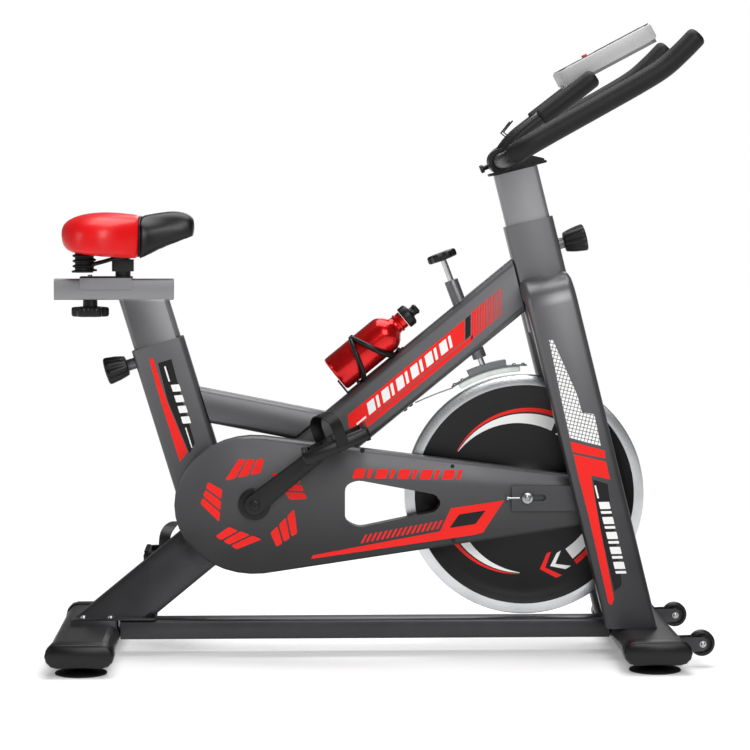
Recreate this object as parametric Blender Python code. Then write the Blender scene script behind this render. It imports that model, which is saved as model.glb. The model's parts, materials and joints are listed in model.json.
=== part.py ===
"""Indoor spin bike: welded tube frame, belt-driven flywheel, sliding saddle and handlebar posts.

Units are metres, +X points forward, +Y to the rider's left and +Z up. The origin lies on the floor,
under the middle of the bike. Each sub-part is one closed solid in its own object.
"""

import math

import bmesh
import bpy
from mathutils import Matrix, Vector

# ---- shared distances --------------------------------------------------------------------------
FIT = 0.0003  # gap between faces that touch
RIGHT, LEFT = -1, 1
SIDES = {"right": RIGHT, "left": LEFT}

# ---- stabilisers, end caps, feet, base bar -----------------------------------------------------
REAR_X, FRONT_X = -0.4845, 0.4377
STABILISER_Z = 0.0345
STABILISER_SIZE = (0.104, 0.036)
STABILISER_HALF_Y = 0.224
CAP_SIZE = (0.111, 0.0395)
CAP_IN_Y, CAP_OUT_Y = 0.205, 0.240
CAP_BORE_SIZE = (0.1046, 0.0366)
FOOT_Y = 0.195
FOOT_R = 0.042
BAR_Z = (0.0270, 0.0605)
BAR_HALF_Y = 0.025
FOOT_PLATE_X = (-0.512, -0.372)
FOOT_PLATE_Z = (0.0610, 0.0640)
FOOT_PLATE_HALF_Y = 0.034
WHEEL_X, WHEEL_Y, WHEEL_Z = 0.519, 0.155, 0.0385
WHEEL_R = 0.021

# ---- main beam and brace -----------------------------------------------------------------------
BEAM_ANGLE = math.radians(39.35)
BEAM_POINT = Vector((0.0, 0.0, 0.4265))
BEAM_DEPTH, BEAM_WIDTH = 0.081, 0.045
BEAM_DIR = Vector((math.cos(BEAM_ANGLE), 0, math.sin(BEAM_ANGLE)))
BEAM_UP = Vector((-math.sin(BEAM_ANGLE), 0, math.cos(BEAM_ANGLE)))
BRACE_ANGLE = math.radians(-11.2)
BRACE_POINT = Vector((-0.2772, 0.0, 0.4147))
BRACE_DEPTH, BRACE_WIDTH = 0.055, 0.040

# ---- seat tube and its post --------------------------------------------------------------------
SEAT_TILT = math.radians(17.0)
SEAT_TOP = Vector((-0.3685, 0.0, 0.5200))
SEAT_UP = Vector((-math.sin(SEAT_TILT), 0, math.cos(SEAT_TILT)))
SEAT_FRONT = Vector((math.cos(SEAT_TILT), 0, math.sin(SEAT_TILT)))
SEAT_TUBE_SIZE = (0.089, 0.049)
SEAT_POST_SIZE = (0.079, 0.039)
SEAT_PIN_DROP = 0.0208
SEAT_POST_INSERT = 0.165
CARRIAGE_X = (-0.5385, -0.3420)
CARRIAGE_Z = (0.5925, 0.6270)
CARRIAGE_HALF_Y = 0.020
SLIDER_X = (-0.4960, -0.4100)
SLIDER_BOTTOM_Z = 0.6095
STAR_KNOB_X = -0.4800
SADDLE_STEM_X = -0.4255

# ---- head tube, handlebar post and fork --------------------------------------------------------
HEAD_TILT = math.radians(14.0)
HEAD_TOP = Vector((0.2470, 0.0, 0.7218))
HEAD_UP = Vector((-math.sin(HEAD_TILT), 0, math.cos(HEAD_TILT)))
HEAD_FRONT = Vector((math.cos(HEAD_TILT), 0, math.sin(HEAD_TILT)))
HEAD_TUBE_SIZE = (0.0825, 0.049)
HEAD_TUBE_LENGTH = 0.180
HEAD_POST_SIZE = (0.0730, 0.039)
HEAD_POST_RISE = 0.0874
HEAD_POST_INSERT = 0.165
HEAD_PIN_DROP = 0.0487
PIN_SLOT_HALF = 0.0049
SEAT_TRAVEL, HEAD_TRAVEL = (-0.045, 0.120), (-0.045, 0.090)
POST_WALL = 0.0026
TUBE_BORE_GAP = 0.0004
LEG_SIZE = (0.0825, 0.042)
LEG_Y = 0.080
LEG_ARM_DROP = 0.1130
LEG_BEND_R = 0.028
DROPOUT_X = (0.2165, 0.3300)
DROPOUT_HALF_Z = 0.0210
DROPOUT_Y = (0.0600, 0.0645)

# ---- drive -------------------------------------------------------------------------------------
CRANK = Vector((-0.2083, 0.0, 0.2570))
CRANK_LENGTH = 0.170
CRANK_ANGLE = math.radians(38.5)
CRANK_ARM_Y = (0.0645, 0.0775)
FLYWHEEL = Vector((0.2420, 0.0, 0.2665))
FLYWHEEL_R = 0.200
RIM_WIDTH_R = 0.0175
DRIVE_BELT_R, DRIVEN_BELT_R = 0.0940, 0.0300
BELT_GAP = 0.0008
BELT_THICK = 0.0028
BELT_Y = (-0.0425, -0.0335)
PULLEY_FACES = (0.0300, 0.0460)
PEDAL_Y = 0.1350
PEDAL_HALF_Y = 0.0500
PEDAL_LENGTH, PEDAL_THICK = 0.115, 0.021
NEAR_PEDAL_TILT = math.radians(23.0)
FAR_PEDAL_TILT = math.radians(2.0)

# ---- belt guard --------------------------------------------------------------------------------
GUARD_CENTRE = (-0.2083, 0.2548)
GUARD_SEMI_X, GUARD_SEMI_Z = 0.1320, 0.1145
GUARD_FRONT = (0.3150, 0.2598)
GUARD_FRONT_R = 0.0430
GUARD_IN_Y, GUARD_OUT_Y = -0.0278, -0.0570
GUARD_WALL = 0.0025
GUARD_PLATE_Y = (-0.0275, -0.0250)
WINDOW = ((-0.0587, 0.2275), (-0.0587, 0.2870), (-0.0388, 0.2960), (0.0918, 0.2715),
          (0.1011, 0.2575), (0.0918, 0.2432), (-0.0356, 0.2168))

# ---- brake -------------------------------------------------------------------------------------
BRAKE_TILT = math.radians(20.6)
BRAKE_KNOB = Vector((0.1045, 0.0, 0.6631))
BRAKE_DOWN = Vector((math.sin(BRAKE_TILT), 0, -math.cos(BRAKE_TILT)))
BRAKE_SIDE = Vector((math.cos(BRAKE_TILT), 0, math.sin(BRAKE_TILT)))
BRAKE_SLEEVE = (0.0420, 0.1800)
BRAKE_ROD_R = 0.0050
PAD_TRAVEL = 0.0050
PAD_HALF_Y = 0.0120

# ---- handlebar group ---------------------------------------------------------------------------
BAR_CROSS = Vector((0.2000, 0.0, 0.8220))
BAR_R, GRIP_R = 0.0125, 0.0165
BAR_END_GAP = 0.004
GRIP_GAP = 0.0009
GRIP_Y = 0.180
INNER_BAR_R, INNER_GRIP_R = 0.0105, 0.0150
INNER_Y = 0.0745
CONSOLE_TILT = math.radians(28.0)
CONSOLE_CENTRE = Vector((0.3745, 0.0, 0.9935))
CONSOLE_SIZE = (0.172, 0.116, 0.033)

# ---- saddle and bottle -------------------------------------------------------------------------
SPRING_X, SPRING_Y = -0.4891, 0.045
SPRING_Z = (0.6385, 0.6748)
BOTTLE_R = 0.0315
BOTTLE_START = -0.0315
BOTTLE_LIFT = 0.0775


# ---- materials ---------------------------------------------------------------------------------
def finish(name, colour, roughness, metallic=0.0):
    """A Principled material with a linear base colour."""
    material = bpy.data.materials.new(name)
    material.use_nodes = True
    shader = material.node_tree.nodes["Principled BSDF"]
    shader.inputs["Base Color"].default_value = (*colour, 1)
    shader.inputs["Roughness"].default_value = roughness
    shader.inputs["Metallic"].default_value = metallic
    return material


# ---- geometry helpers --------------------------------------------------------------------------
def rounded_rectangle(width, height, radius, steps=2):
    """Outline points, anticlockwise, of a rectangle with round corners."""
    points = []
    for quarter, (sx, sy) in enumerate(((1, 1), (-1, 1), (-1, -1), (1, -1))):
        for step in range(steps + 1):
            angle = math.pi / 2 * (quarter + step / steps)
            points.append((sx * (width / 2 - radius) + radius * math.cos(angle),
                           sy * (height / 2 - radius) + radius * math.sin(angle)))
    return points


def stadium(width, height):
    """Outline of a flat oval whose ends are half circles, with no doubled points."""
    return rounded_rectangle(width, height, height / 2 - 1e-5, 3)


def circle(radius, sides):
    return [(radius * math.cos(math.tau * i / sides), radius * math.sin(math.tau * i / sides))
            for i in range(sides)]


def offset_outline(points, distance):
    """The outline moved inwards (positive) or outwards along its corner normals."""
    moved = []
    for i, here in enumerate(points):
        before, after = Vector(points[i - 1]), Vector(points[(i + 1) % len(points)])
        first, second = (Vector(here) - before).normalized(), (after - Vector(here)).normalized()
        inward = Vector((-first.y - second.y, first.x + second.x)).normalized()
        reach = distance / max(0.4, math.cos(first.angle(second) / 2))
        moved.append(tuple(Vector(here) + inward * reach))
    return moved


def frame(origin, axis, side):
    """Matrix whose local Z is axis and whose local X is side, at origin."""
    z = Vector(axis).normalized()
    x = (Vector(side) - z * Vector(side).dot(z)).normalized()
    y = z.cross(x)
    matrix = Matrix((x, y, z)).transposed().to_4x4()
    matrix.translation = Vector(origin)
    return matrix


def ring(matrix, outline, height):
    return [matrix @ Vector((u, v, height)) for u, v in outline]


def ring_on_plane(matrix, outline, plane_point, plane_normal):
    """The outline carried along local Z until it meets a plane."""
    axis = matrix.to_3x3() @ Vector((0, 0, 1))
    points = []
    for u, v in outline:
        start = matrix @ Vector((u, v, 0))
        reach = (Vector(plane_point) - start).dot(plane_normal) / axis.dot(plane_normal)
        points.append(start + axis * reach)
    return points


def skin(bm, rings, closed=False):
    """Joins rings of equal length with quads, and caps the two ends of an open stack."""
    loops = [[bm.verts.new(point) for point in points] for points in rings]
    following = loops[1:] + loops[:1] if closed else loops[1:]
    for lower, upper in zip(loops, following):
        for i in range(len(lower)):
            j = (i + 1) % len(lower)
            bm.faces.new((lower[i], lower[j], upper[j], upper[i]))
    if not closed:
        bm.faces.new(list(reversed(loops[0])))
        bm.faces.new(loops[-1])


def build(name, rings, material, pivot=(0, 0, 0), closed=False):
    """A named object with its origin at pivot, skinned from rings of world points."""
    bm = bmesh.new()
    skin(bm, rings, closed)
    bmesh.ops.recalc_face_normals(bm, faces=bm.faces)
    bmesh.ops.translate(bm, verts=bm.verts, vec=-Vector(pivot))
    mesh = bpy.data.meshes.new(name)
    bm.to_mesh(mesh)
    bm.free()
    mesh.shade_smooth()
    mesh.set_sharp_from_angle(angle=math.radians(35))
    mesh.materials.append(material)
    obj = bpy.data.objects.new(name, mesh)
    obj.location = pivot
    bpy.context.scene.collection.objects.link(obj)
    return obj


def prism(name, matrix, layers, material, pivot=(0, 0, 0)):
    """A solid through (height, outline) layers along local Z."""
    return build(name, [ring(matrix, outline, z) for z, outline in layers], material, pivot)


def turned(name, matrix, profile, material, sides=24, pivot=(0, 0, 0), bored=False):
    """A solid of revolution about local Z; a bored profile runs right round its section."""
    rings = [ring(matrix, circle(radius, sides), z) for radius, z in profile]
    return build(name, rings, material, pivot, closed=bored)


def cutter_of(obj):
    obj.hide_render = True
    obj.display_type = "WIRE"
    return obj


def combine(target, other, operation):
    """A live Boolean; the other object becomes a hidden tool."""
    modifier = target.modifiers.new(operation.title(), "BOOLEAN")
    modifier.operation = operation
    modifier.object = cutter_of(other)
    return target


def cut(target, cutter):
    return combine(target, cutter, "DIFFERENCE")


def weld(target, other):
    return combine(target, other, "UNION")


def path_frames(points):
    """One frame per path point, with its local Z along the path and turned as little as possible."""
    points = [Vector(p) for p in points]
    frames, side = [], None
    for i, here in enumerate(points):
        ahead = points[min(i + 1, len(points) - 1)] - points[max(i - 1, 0)]
        if side is None:
            side = Vector((0, 1, 0)) if abs(ahead.normalized().y) < 0.7 else Vector((0, 0, 1))
        matrix = frame(here, ahead, side)
        side = matrix.to_3x3() @ Vector((1, 0, 0))
        frames.append(matrix)
    return frames


def smooth_path(points, per_span=4):
    """A Catmull-Rom curve through the points."""
    points = [Vector(p) for p in points]
    padded = [2 * points[0] - points[1], *points, 2 * points[-1] - points[-2]]
    curve = []
    for a, b, c, d in zip(padded, padded[1:], padded[2:], padded[3:]):
        for step in range(per_span):
            t = step / per_span
            curve.append(0.5 * ((2 * b) + (c - a) * t + (2 * a - 5 * b + 4 * c - d) * t * t
                                + (3 * b - a - 3 * c + d) * t ** 3))
    return curve + [points[-1]]


def shortened(points, amount):
    """The path with its last point pulled back along its last span."""
    last = points[-1] - points[-2]
    return points[:-1] + [points[-1] - last.normalized() * amount]


def mirrored(points):
    return [Vector((p[0], -p[1], p[2])) for p in points]


def swept(name, points, outlines, material, pivot=(0, 0, 0)):
    """A section carried along a path; outlines is one outline or one for each point."""
    frames = path_frames(points)
    if not isinstance(outlines[0], list):
        outlines = [outlines] * len(frames)
    rings = [ring(matrix, outline, 0) for matrix, outline in zip(frames, outlines)]
    return build(name, rings, material, pivot)


def sleeve(name, points, inner_r, outer_r, material, sides, tip, pivot=(0, 0, 0)):
    """A soft grip over a bar: open at its first point, closed and rounded at its last."""
    frames = path_frames(points)
    inner, outer = circle(inner_r, sides), circle(outer_r, sides)
    rings = [ring(matrix, inner, 0) for matrix in reversed(path_frames(shortened(points, BAR_END_GAP - 0.001)))]
    rings += [ring(matrix, outer, 0) for matrix in frames]
    for share in (0.45, 0.85):
        shrunk = circle(outer_r * math.cos(share * math.pi / 2), sides)
        rings.append(ring(frames[-1], shrunk, tip * math.sin(share * math.pi / 2)))
    return build(name, rings, material, pivot)


def y_frame(centre, side=RIGHT):
    """A frame at centre whose local Z points out along Y on that side."""
    return frame(centre, (0, side, 0), (1, 0, 0))


def along_y(outline):
    """An XZ outline given in world terms, as local points of y_frame((0, 0, 0), RIGHT)."""
    return [(x, z) for x, z in outline]


def fluted(radius, depth, lobes, per_lobe=3):
    """A hand knob's scalloped outline."""
    count = lobes * per_lobe
    return [(r * math.cos(math.tau * i / count), r * math.sin(math.tau * i / count))
            for i in range(count)
            for r in [radius - depth * (0.5 - 0.5 * math.cos(math.tau * i / per_lobe))]]


def body(name, pivot, members):
    """An empty on a joint's axis that carries the pieces that move together."""
    empty = bpy.data.objects.new(name, None)
    empty.location = pivot
    empty.empty_display_size = 0.03
    bpy.context.scene.collection.objects.link(empty)
    for member in members:
        member.parent = empty
        member.location = Vector(member.location) - Vector(pivot)
    return empty


def clear_scene():
    for obj in list(bpy.data.objects):
        bpy.data.objects.remove(obj)


# ---- frame -------------------------------------------------------------------------------------
def make_stabiliser(name, x, material):
    matrix = frame((x, 0, STABILISER_Z), (0, 1, 0), (1, 0, 0))
    outline = stadium(*STABILISER_SIZE)
    return prism(name, matrix, [(-STABILISER_HALF_Y, outline), (STABILISER_HALF_Y, outline)], material)


def block(name, low, high, radius, material, steps=2):
    """A box between two corners with its four upright edges rounded."""
    low, high = Vector(low), Vector(high)
    size, centre = high - low, (low + high) / 2
    outline = rounded_rectangle(size.x, size.y, radius, steps)
    matrix = frame((centre.x, centre.y, low.z), (0, 0, 1), (1, 0, 0))
    return prism(name, matrix, [(0, outline), (size.z, outline)], material)


def make_rear_stabiliser(material):
    """The rear cross tube with the raised pad that the beam's foot plate is bolted to."""
    tube = make_stabiliser("rear_stabiliser", REAR_X, material)
    low = (FOOT_PLATE_X[0] - 0.004, -FOOT_PLATE_HALF_Y, STABILISER_Z)
    high = (REAR_X + STABILISER_SIZE[0] / 2 - 0.004, FOOT_PLATE_HALF_Y, FOOT_PLATE_Z[0] - FIT)
    return weld(tube, block("rear_pad", low, high, 0.004, material))


def make_front_stabiliser(material):
    """The front cross tube with the fork plates that carry the transport wheels."""
    tube = make_stabiliser("front_stabiliser", FRONT_X, material)
    for side in SIDES.values():
        for face in (-0.0145, 0.0115):
            centre = Vector((0, side * WHEEL_Y + face, 0))
            outline = [(0.470, 0.0225), (0.520, 0.0270), (0.5265, 0.0320), (0.5265, 0.0450),
                       (0.5200, 0.0500), (0.470, 0.0480)]
            plate = prism("wheel_plate", frame(centre, (0, -1, 0), (1, 0, 0)),
                          [(0, outline), (-0.003, outline)], material)
            weld(tube, plate)
        pin = turned("wheel_pin", frame((WHEEL_X, side * WHEEL_Y - 0.016, WHEEL_Z), (0, 1, 0), (1, 0, 0)),
                     [(0.0035, 0), (0.0035, 0.032)], material, sides=12)
        weld(tube, pin)
    return tube


def make_end_cap(name, x, side, material):
    """A plastic cap that sleeves over the end of a stabiliser."""
    matrix = frame((x, 0, STABILISER_Z), (0, side, 0), (1, 0, 0))
    outer, bore = stadium(*CAP_SIZE), stadium(*CAP_BORE_SIZE)
    nose = stadium(CAP_SIZE[0] - 0.008, CAP_SIZE[1] - 0.008)
    shoulder = stadium(CAP_SIZE[0] - 0.002, CAP_SIZE[1] - 0.002)
    depth = STABILISER_HALF_Y + FIT
    return prism(name, matrix, [(depth, bore), (CAP_IN_Y, bore), (CAP_IN_Y, outer), (CAP_OUT_Y - 0.006, outer),
                                (CAP_OUT_Y - 0.0025, shoulder), (CAP_OUT_Y, nose)], material)


def make_foot(name, x, side, material):
    """A levelling foot: a wide disc, a neck and the stud's visible end."""
    top = STABILISER_Z - CAP_SIZE[1] / 2 - FIT
    profile = [(FOOT_R - 0.002, 0), (FOOT_R, 0.0025), (FOOT_R - 0.003, 0.0045), (0.026, 0.0085),
               (0.014, 0.0105), (0.012, top)]
    centre = (x, side * FOOT_Y, 0)
    return turned(name, frame(centre, (0, 0, 1), (1, 0, 0)), profile, material, sides=18, pivot=centre)


def make_base_bar(material):
    front = FRONT_X - STABILISER_SIZE[0] / 2 - FIT
    rear = REAR_X + STABILISER_SIZE[0] / 2 + FIT
    middle = (BAR_Z[0] + BAR_Z[1]) / 2
    outline = rounded_rectangle(2 * BAR_HALF_Y, BAR_Z[1] - BAR_Z[0], 0.005, 2)
    matrix = frame((0, 0, middle), (1, 0, 0), (0, 1, 0))
    return prism("base_bar", matrix, [(rear, outline), (front, outline)], material)


def make_main_beam(material):
    """The slanting backbone, from the rear foot plate up to the head tube."""
    matrix = frame(BEAM_POINT, BEAM_DIR, (0, 1, 0))
    outline = rounded_rectangle(BEAM_WIDTH, BEAM_DEPTH, 0.010)
    foot = ring_on_plane(matrix, outline, (0, 0, FOOT_PLATE_Z[1] - 0.001), Vector((0, 0, 1)))
    head_face = HEAD_TOP - HEAD_FRONT * (HEAD_TUBE_SIZE[0] / 2 + FIT)
    head = ring_on_plane(matrix, outline, head_face, HEAD_FRONT)
    beam = build("main_beam", [foot, head], material)
    plate = block("foot_plate", (FOOT_PLATE_X[0], -FOOT_PLATE_HALF_Y, FOOT_PLATE_Z[0]),
                  (FOOT_PLATE_X[1], FOOT_PLATE_HALF_Y, FOOT_PLATE_Z[1]), 0.006, material)
    weld(beam, plate)
    guide_frame = frame(BRAKE_KNOB, BRAKE_DOWN, BRAKE_SIDE)
    weld(beam, turned("brake_guide", guide_frame, [(0.0116, BRAKE_SLEEVE[0]), (0.0116, BRAKE_SLEEVE[1])],
                      material, sides=20))
    cut(beam, turned("brake_guide_bore", guide_frame, [(BRAKE_ROD_R + 0.0006, 0.02), (BRAKE_ROD_R + 0.0006, 0.21)],
                     material, sides=16))
    cut(beam, turned("bottom_bracket_bore", y_frame(CRANK), [(0.0097, -0.05), (0.0097, 0.05)], material, sides=20))
    return beam


def slanted_tube(name, matrix, outer, bore, foot_plane, top, material):
    """A tube open at its square top, whose foot is cut to a plane."""
    rings = [ring_on_plane(matrix, outer, *foot_plane), ring(matrix, outer, top),
             ring(matrix, bore, top), ring_on_plane(matrix, bore, *foot_plane)]
    return build(name, rings, material, closed=True)


def tube_outlines(tube_size, post_size):
    outer = rounded_rectangle(*tube_size, 0.010)
    bore = rounded_rectangle(post_size[0] + 2 * TUBE_BORE_GAP, post_size[1] + 2 * TUBE_BORE_GAP, 0.0079)
    return outer, bore


def make_seat_tube(material):
    """The rear upright, open at its collar, with the boss that guides the height pin."""
    outer, bore = tube_outlines(SEAT_TUBE_SIZE, SEAT_POST_SIZE)
    beam_face = BEAM_POINT + BEAM_UP * (BEAM_DEPTH / 2 + FIT)
    tube = slanted_tube("seat_tube", frame(SEAT_TOP, SEAT_UP, SEAT_FRONT), outer, bore,
                        (beam_face, BEAM_UP), 0, material)
    return add_pin_boss(tube, SEAT_TOP - SEAT_UP * SEAT_PIN_DROP, -SEAT_FRONT, SEAT_UP,
                        SEAT_TUBE_SIZE[0] / 2, 0.0138, material)


def add_pin_boss(tube, centre, outward, side, wall, length, material):
    """Welds a round boss to a tube's face and bores it for the pull pin."""
    matrix = frame(centre, outward, side)
    weld(tube, turned("pin_boss", matrix, [(0.0095, wall - 0.003), (0.0095, wall + length)], material, sides=20))
    return cut(tube, turned("pin_bore", matrix, [(0.0045, 0.0), (0.0045, wall + length + 0.01)], material, sides=12))


def make_rear_brace(material):
    direction = Vector((math.cos(BRACE_ANGLE), 0, math.sin(BRACE_ANGLE)))
    matrix = frame(BRACE_POINT, direction, (0, 1, 0))
    outline = rounded_rectangle(BRACE_WIDTH, BRACE_DEPTH, 0.008)
    seat_face = SEAT_TOP + SEAT_FRONT * (SEAT_TUBE_SIZE[0] / 2 + FIT)
    beam_face = BEAM_POINT + BEAM_UP * (BEAM_DEPTH / 2 + FIT)
    rings = [ring_on_plane(matrix, outline, seat_face, SEAT_FRONT),
             ring_on_plane(matrix, outline, beam_face, BEAM_UP)]
    return build("rear_brace", rings, material)


def make_head_tube(material):
    outer, bore = tube_outlines(HEAD_TUBE_SIZE, HEAD_POST_SIZE)
    matrix = frame(HEAD_TOP, HEAD_UP, HEAD_FRONT)
    rings = [ring(matrix, outer, -HEAD_TUBE_LENGTH), ring(matrix, outer, 0),
             ring(matrix, bore, 0), ring(matrix, bore, -HEAD_TUBE_LENGTH)]
    tube = build("head_tube", rings, material, closed=True)
    return add_pin_boss(tube, HEAD_TOP - HEAD_UP * HEAD_PIN_DROP, HEAD_FRONT, HEAD_UP,
                        HEAD_TUBE_SIZE[0] / 2, 0.0090, material)


def make_fork_leg(name, side, material):
    """A leg that leaves the head tube's side, bends down and stands on the front stabiliser."""
    start_y = HEAD_TUBE_SIZE[1] / 2 + FIT
    path = [(start_y, LEG_ARM_DROP)]
    for step in range(5):
        angle = math.pi / 2 * step / 4
        path.append((LEG_Y - LEG_BEND_R + LEG_BEND_R * math.sin(angle),
                     LEG_ARM_DROP + LEG_BEND_R * (1 - math.cos(angle))))
    points = [HEAD_TOP + Vector((0, side * y, 0)) - HEAD_UP * drop for y, drop in path]
    outline = rounded_rectangle(*LEG_SIZE, 0.010)
    rings = []
    for i, point in enumerate(points):
        angle = math.pi / 2 * max(0, i - 1) / 4
        axis = Vector((0, side * math.cos(angle), 0)) - HEAD_UP * math.sin(angle)
        rings.append(ring(frame(point, axis, HEAD_FRONT), outline, 0))
    last = frame(points[-1], -HEAD_UP, HEAD_FRONT)
    floor = (0, 0, STABILISER_Z + STABILISER_SIZE[1] / 2 + FIT)
    rings.append(ring_on_plane(last, outline, floor, Vector((0, 0, 1))))
    leg = build(name, rings, material)
    return add_dropout(leg, side, material)


def add_dropout(leg, side, material):
    """Welds on the slotted plate that holds one end of the flywheel axle."""
    width = DROPOUT_X[1] - DROPOUT_X[0]
    centre = Vector(((DROPOUT_X[0] + DROPOUT_X[1]) / 2, 0, FLYWHEEL.z - 0.001))
    outline = rounded_rectangle(width, 2 * DROPOUT_HALF_Z, 0.002, 2)
    matrix = frame(centre, (0, side, 0), (1, 0, 0))
    weld(leg, prism("dropout", matrix, [(DROPOUT_Y[0], outline), (DROPOUT_Y[1], outline)], material))
    slot = rounded_rectangle(0.0400, 0.0112, 0.0055, 3)
    slot_frame = frame(FLYWHEEL + Vector((0.0110, 0, 0)), (0, side, 0), (1, 0, 0))
    return cut(leg, prism("axle_slot", slot_frame, [(0.055, slot), (0.0720, slot)], material))


# ---- flywheel and drive ------------------------------------------------------------------------
def make_flywheel(material):
    """A steel disc with a heavy rim and a hub bored for the axle."""
    rim_half, web_half, hub_half = 0.0140, 0.0045, 0.0200
    inner_r, hub_r, bore_r = FLYWHEEL_R - RIM_WIDTH_R, 0.030, 0.0056
    half = [(bore_r, hub_half), (hub_r - 0.002, hub_half), (hub_r, hub_half - 0.002), (hub_r, web_half),
            (inner_r - 0.004, web_half), (inner_r, rim_half - 0.001), (inner_r + 0.001, rim_half),
            (FLYWHEEL_R - 0.002, rim_half), (FLYWHEEL_R, rim_half - 0.002)]
    profile = half + [(radius, -z) for radius, z in reversed(half)]
    return turned("flywheel", y_frame(FLYWHEEL), profile, material, sides=48, pivot=FLYWHEEL, bored=True)


def make_axle(material):
    """The fixed axle with its collars and nuts."""
    thin, collar, nut = 0.0050, 0.0088, 0.0090
    stations = [(thin, -0.0740), (thin, -0.0728), (nut, -0.0726), (nut, -0.0650), (thin, -0.0648), (thin, -0.0596),
                (collar, -0.0594), (collar, -0.0480), (thin, -0.0478), (thin, 0.0208), (collar, 0.0210),
                (collar, 0.0594), (thin, 0.0596), (thin, 0.0648), (nut, 0.0650), (nut, 0.0726), (thin, 0.0728),
                (thin, 0.0740)]
    matrix = frame(FLYWHEEL, (0, 1, 0), (1, 0, 0))
    return turned("flywheel_axle", matrix, stations, material, sides=12)


def belt_outline(crank_r, flywheel_r, arc_steps=20):
    """The open belt's path round both pulleys, at a given distance from each axis, in X and Z."""
    start, end = Vector((CRANK.x, CRANK.z)), Vector((FLYWHEEL.x, FLYWHEEL.z))
    line = end - start
    lean = math.atan2(line.y, line.x)
    spread = math.acos((crank_r - flywheel_r) / line.length)
    points = []
    for centre, radius, first, last in ((start, crank_r, lean + spread, lean + math.tau - spread),
                                        (end, flywheel_r, lean - spread, lean + spread)):
        steps = arc_steps if radius == crank_r else arc_steps // 2
        for step in range(steps + 1):
            angle = first + (last - first) * step / steps
            points.append((centre.x + radius * math.cos(angle), centre.y + radius * math.sin(angle)))
    return points


def xz_ring(outline, y):
    return [Vector((x, y, z)) for x, z in outline]


def make_belt(material):
    inner = belt_outline(DRIVE_BELT_R + BELT_GAP, DRIVEN_BELT_R + BELT_GAP)
    outer = belt_outline(DRIVE_BELT_R + BELT_GAP + BELT_THICK, DRIVEN_BELT_R + BELT_GAP + BELT_THICK)
    rings = [xz_ring(outer, BELT_Y[0]), xz_ring(outer, BELT_Y[1]), xz_ring(inner, BELT_Y[1]),
             xz_ring(inner, BELT_Y[0])]
    return build("belt", rings, material, closed=True)


def make_driven_pulley(material):
    """The small flanged pulley on the flywheel's hub."""
    flange, inboard, outboard = DRIVEN_BELT_R + 0.0045, *PULLEY_FACES
    profile = [(0.0056, 0.0203), (0.0140, 0.0203), (0.0140, inboard), (flange, inboard), (flange, inboard + 0.0015),
               (DRIVEN_BELT_R, inboard + 0.0030), (DRIVEN_BELT_R, outboard - 0.0030), (flange, outboard - 0.0015),
               (flange, outboard), (0.0056, outboard)]
    return turned("driven_pulley", y_frame(FLYWHEEL), profile, material, sides=20, pivot=FLYWHEEL, bored=True)


def make_spindle(material):
    """The spindle with the drive pulley and the round flange that shows behind the right arm."""
    flange, inboard, outboard = DRIVE_BELT_R + 0.0045, *PULLEY_FACES
    stations = [(0.0085, -0.0640), (0.0085, inboard), (flange, inboard), (flange, inboard + 0.0015),
                (DRIVE_BELT_R, inboard + 0.0030), (DRIVE_BELT_R, outboard - 0.0030), (flange, outboard - 0.0015),
                (flange, outboard), (0.0085, outboard), (0.0085, 0.0573), (0.0265, 0.0575), (0.0265, 0.0625),
                (0.0085, 0.0627), (0.0085, 0.0640)]
    return turned("crank_spindle", y_frame(CRANK), stations, material, sides=32, pivot=CRANK)


def pedal_point(side):
    angle = CRANK_ANGLE + (0 if side == RIGHT else math.pi)
    return CRANK + Vector((math.cos(angle), 0, math.sin(angle))) * CRANK_LENGTH


def hull_of_circles(first, first_r, second, second_r, steps=8):
    """Outline, in X and Z, of two discs and the tangents between them."""
    line = second - first
    lean = math.atan2(line.y, line.x)
    spread = math.acos((first_r - second_r) / line.length)
    points = []
    for centre, radius, start, end in ((first, first_r, lean + spread, lean + math.tau - spread),
                                       (second, second_r, lean - spread, lean + spread)):
        for step in range(steps + 1):
            angle = start + (end - start) * step / steps
            points.append((centre.x + radius * math.cos(angle), centre.y + radius * math.sin(angle)))
    return points


def make_crank_arm(name, side, material):
    """A tapering arm with its pedal axle."""
    end = pedal_point(side)
    centre, tip = Vector((CRANK.x, CRANK.z)), Vector((end.x, end.z))
    outline = hull_of_circles(centre, 0.0170, tip, 0.0125)
    slim = hull_of_circles(centre, 0.0160, tip, 0.0115)
    layers = [(CRANK_ARM_Y[0], outline), (CRANK_ARM_Y[1] - 0.002, outline), (CRANK_ARM_Y[1], slim)]
    arm = build(name, [xz_ring(points, side * y) for y, points in layers], material, pivot=CRANK)
    axle = turned("pedal_axle", y_frame(end, side),
                  [(0.0065, CRANK_ARM_Y[1] - 0.006), (0.0065, PEDAL_Y + PEDAL_HALF_Y - 0.006)], material, sides=14)
    return weld(arm, axle)


def pedal_frame(side):
    """Local X runs forward along the pedal, local Z out along Y."""
    tilt = NEAR_PEDAL_TILT if side == RIGHT else FAR_PEDAL_TILT
    return frame(pedal_point(side), (0, side, 0), (math.cos(tilt), 0, math.sin(tilt)))


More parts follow.
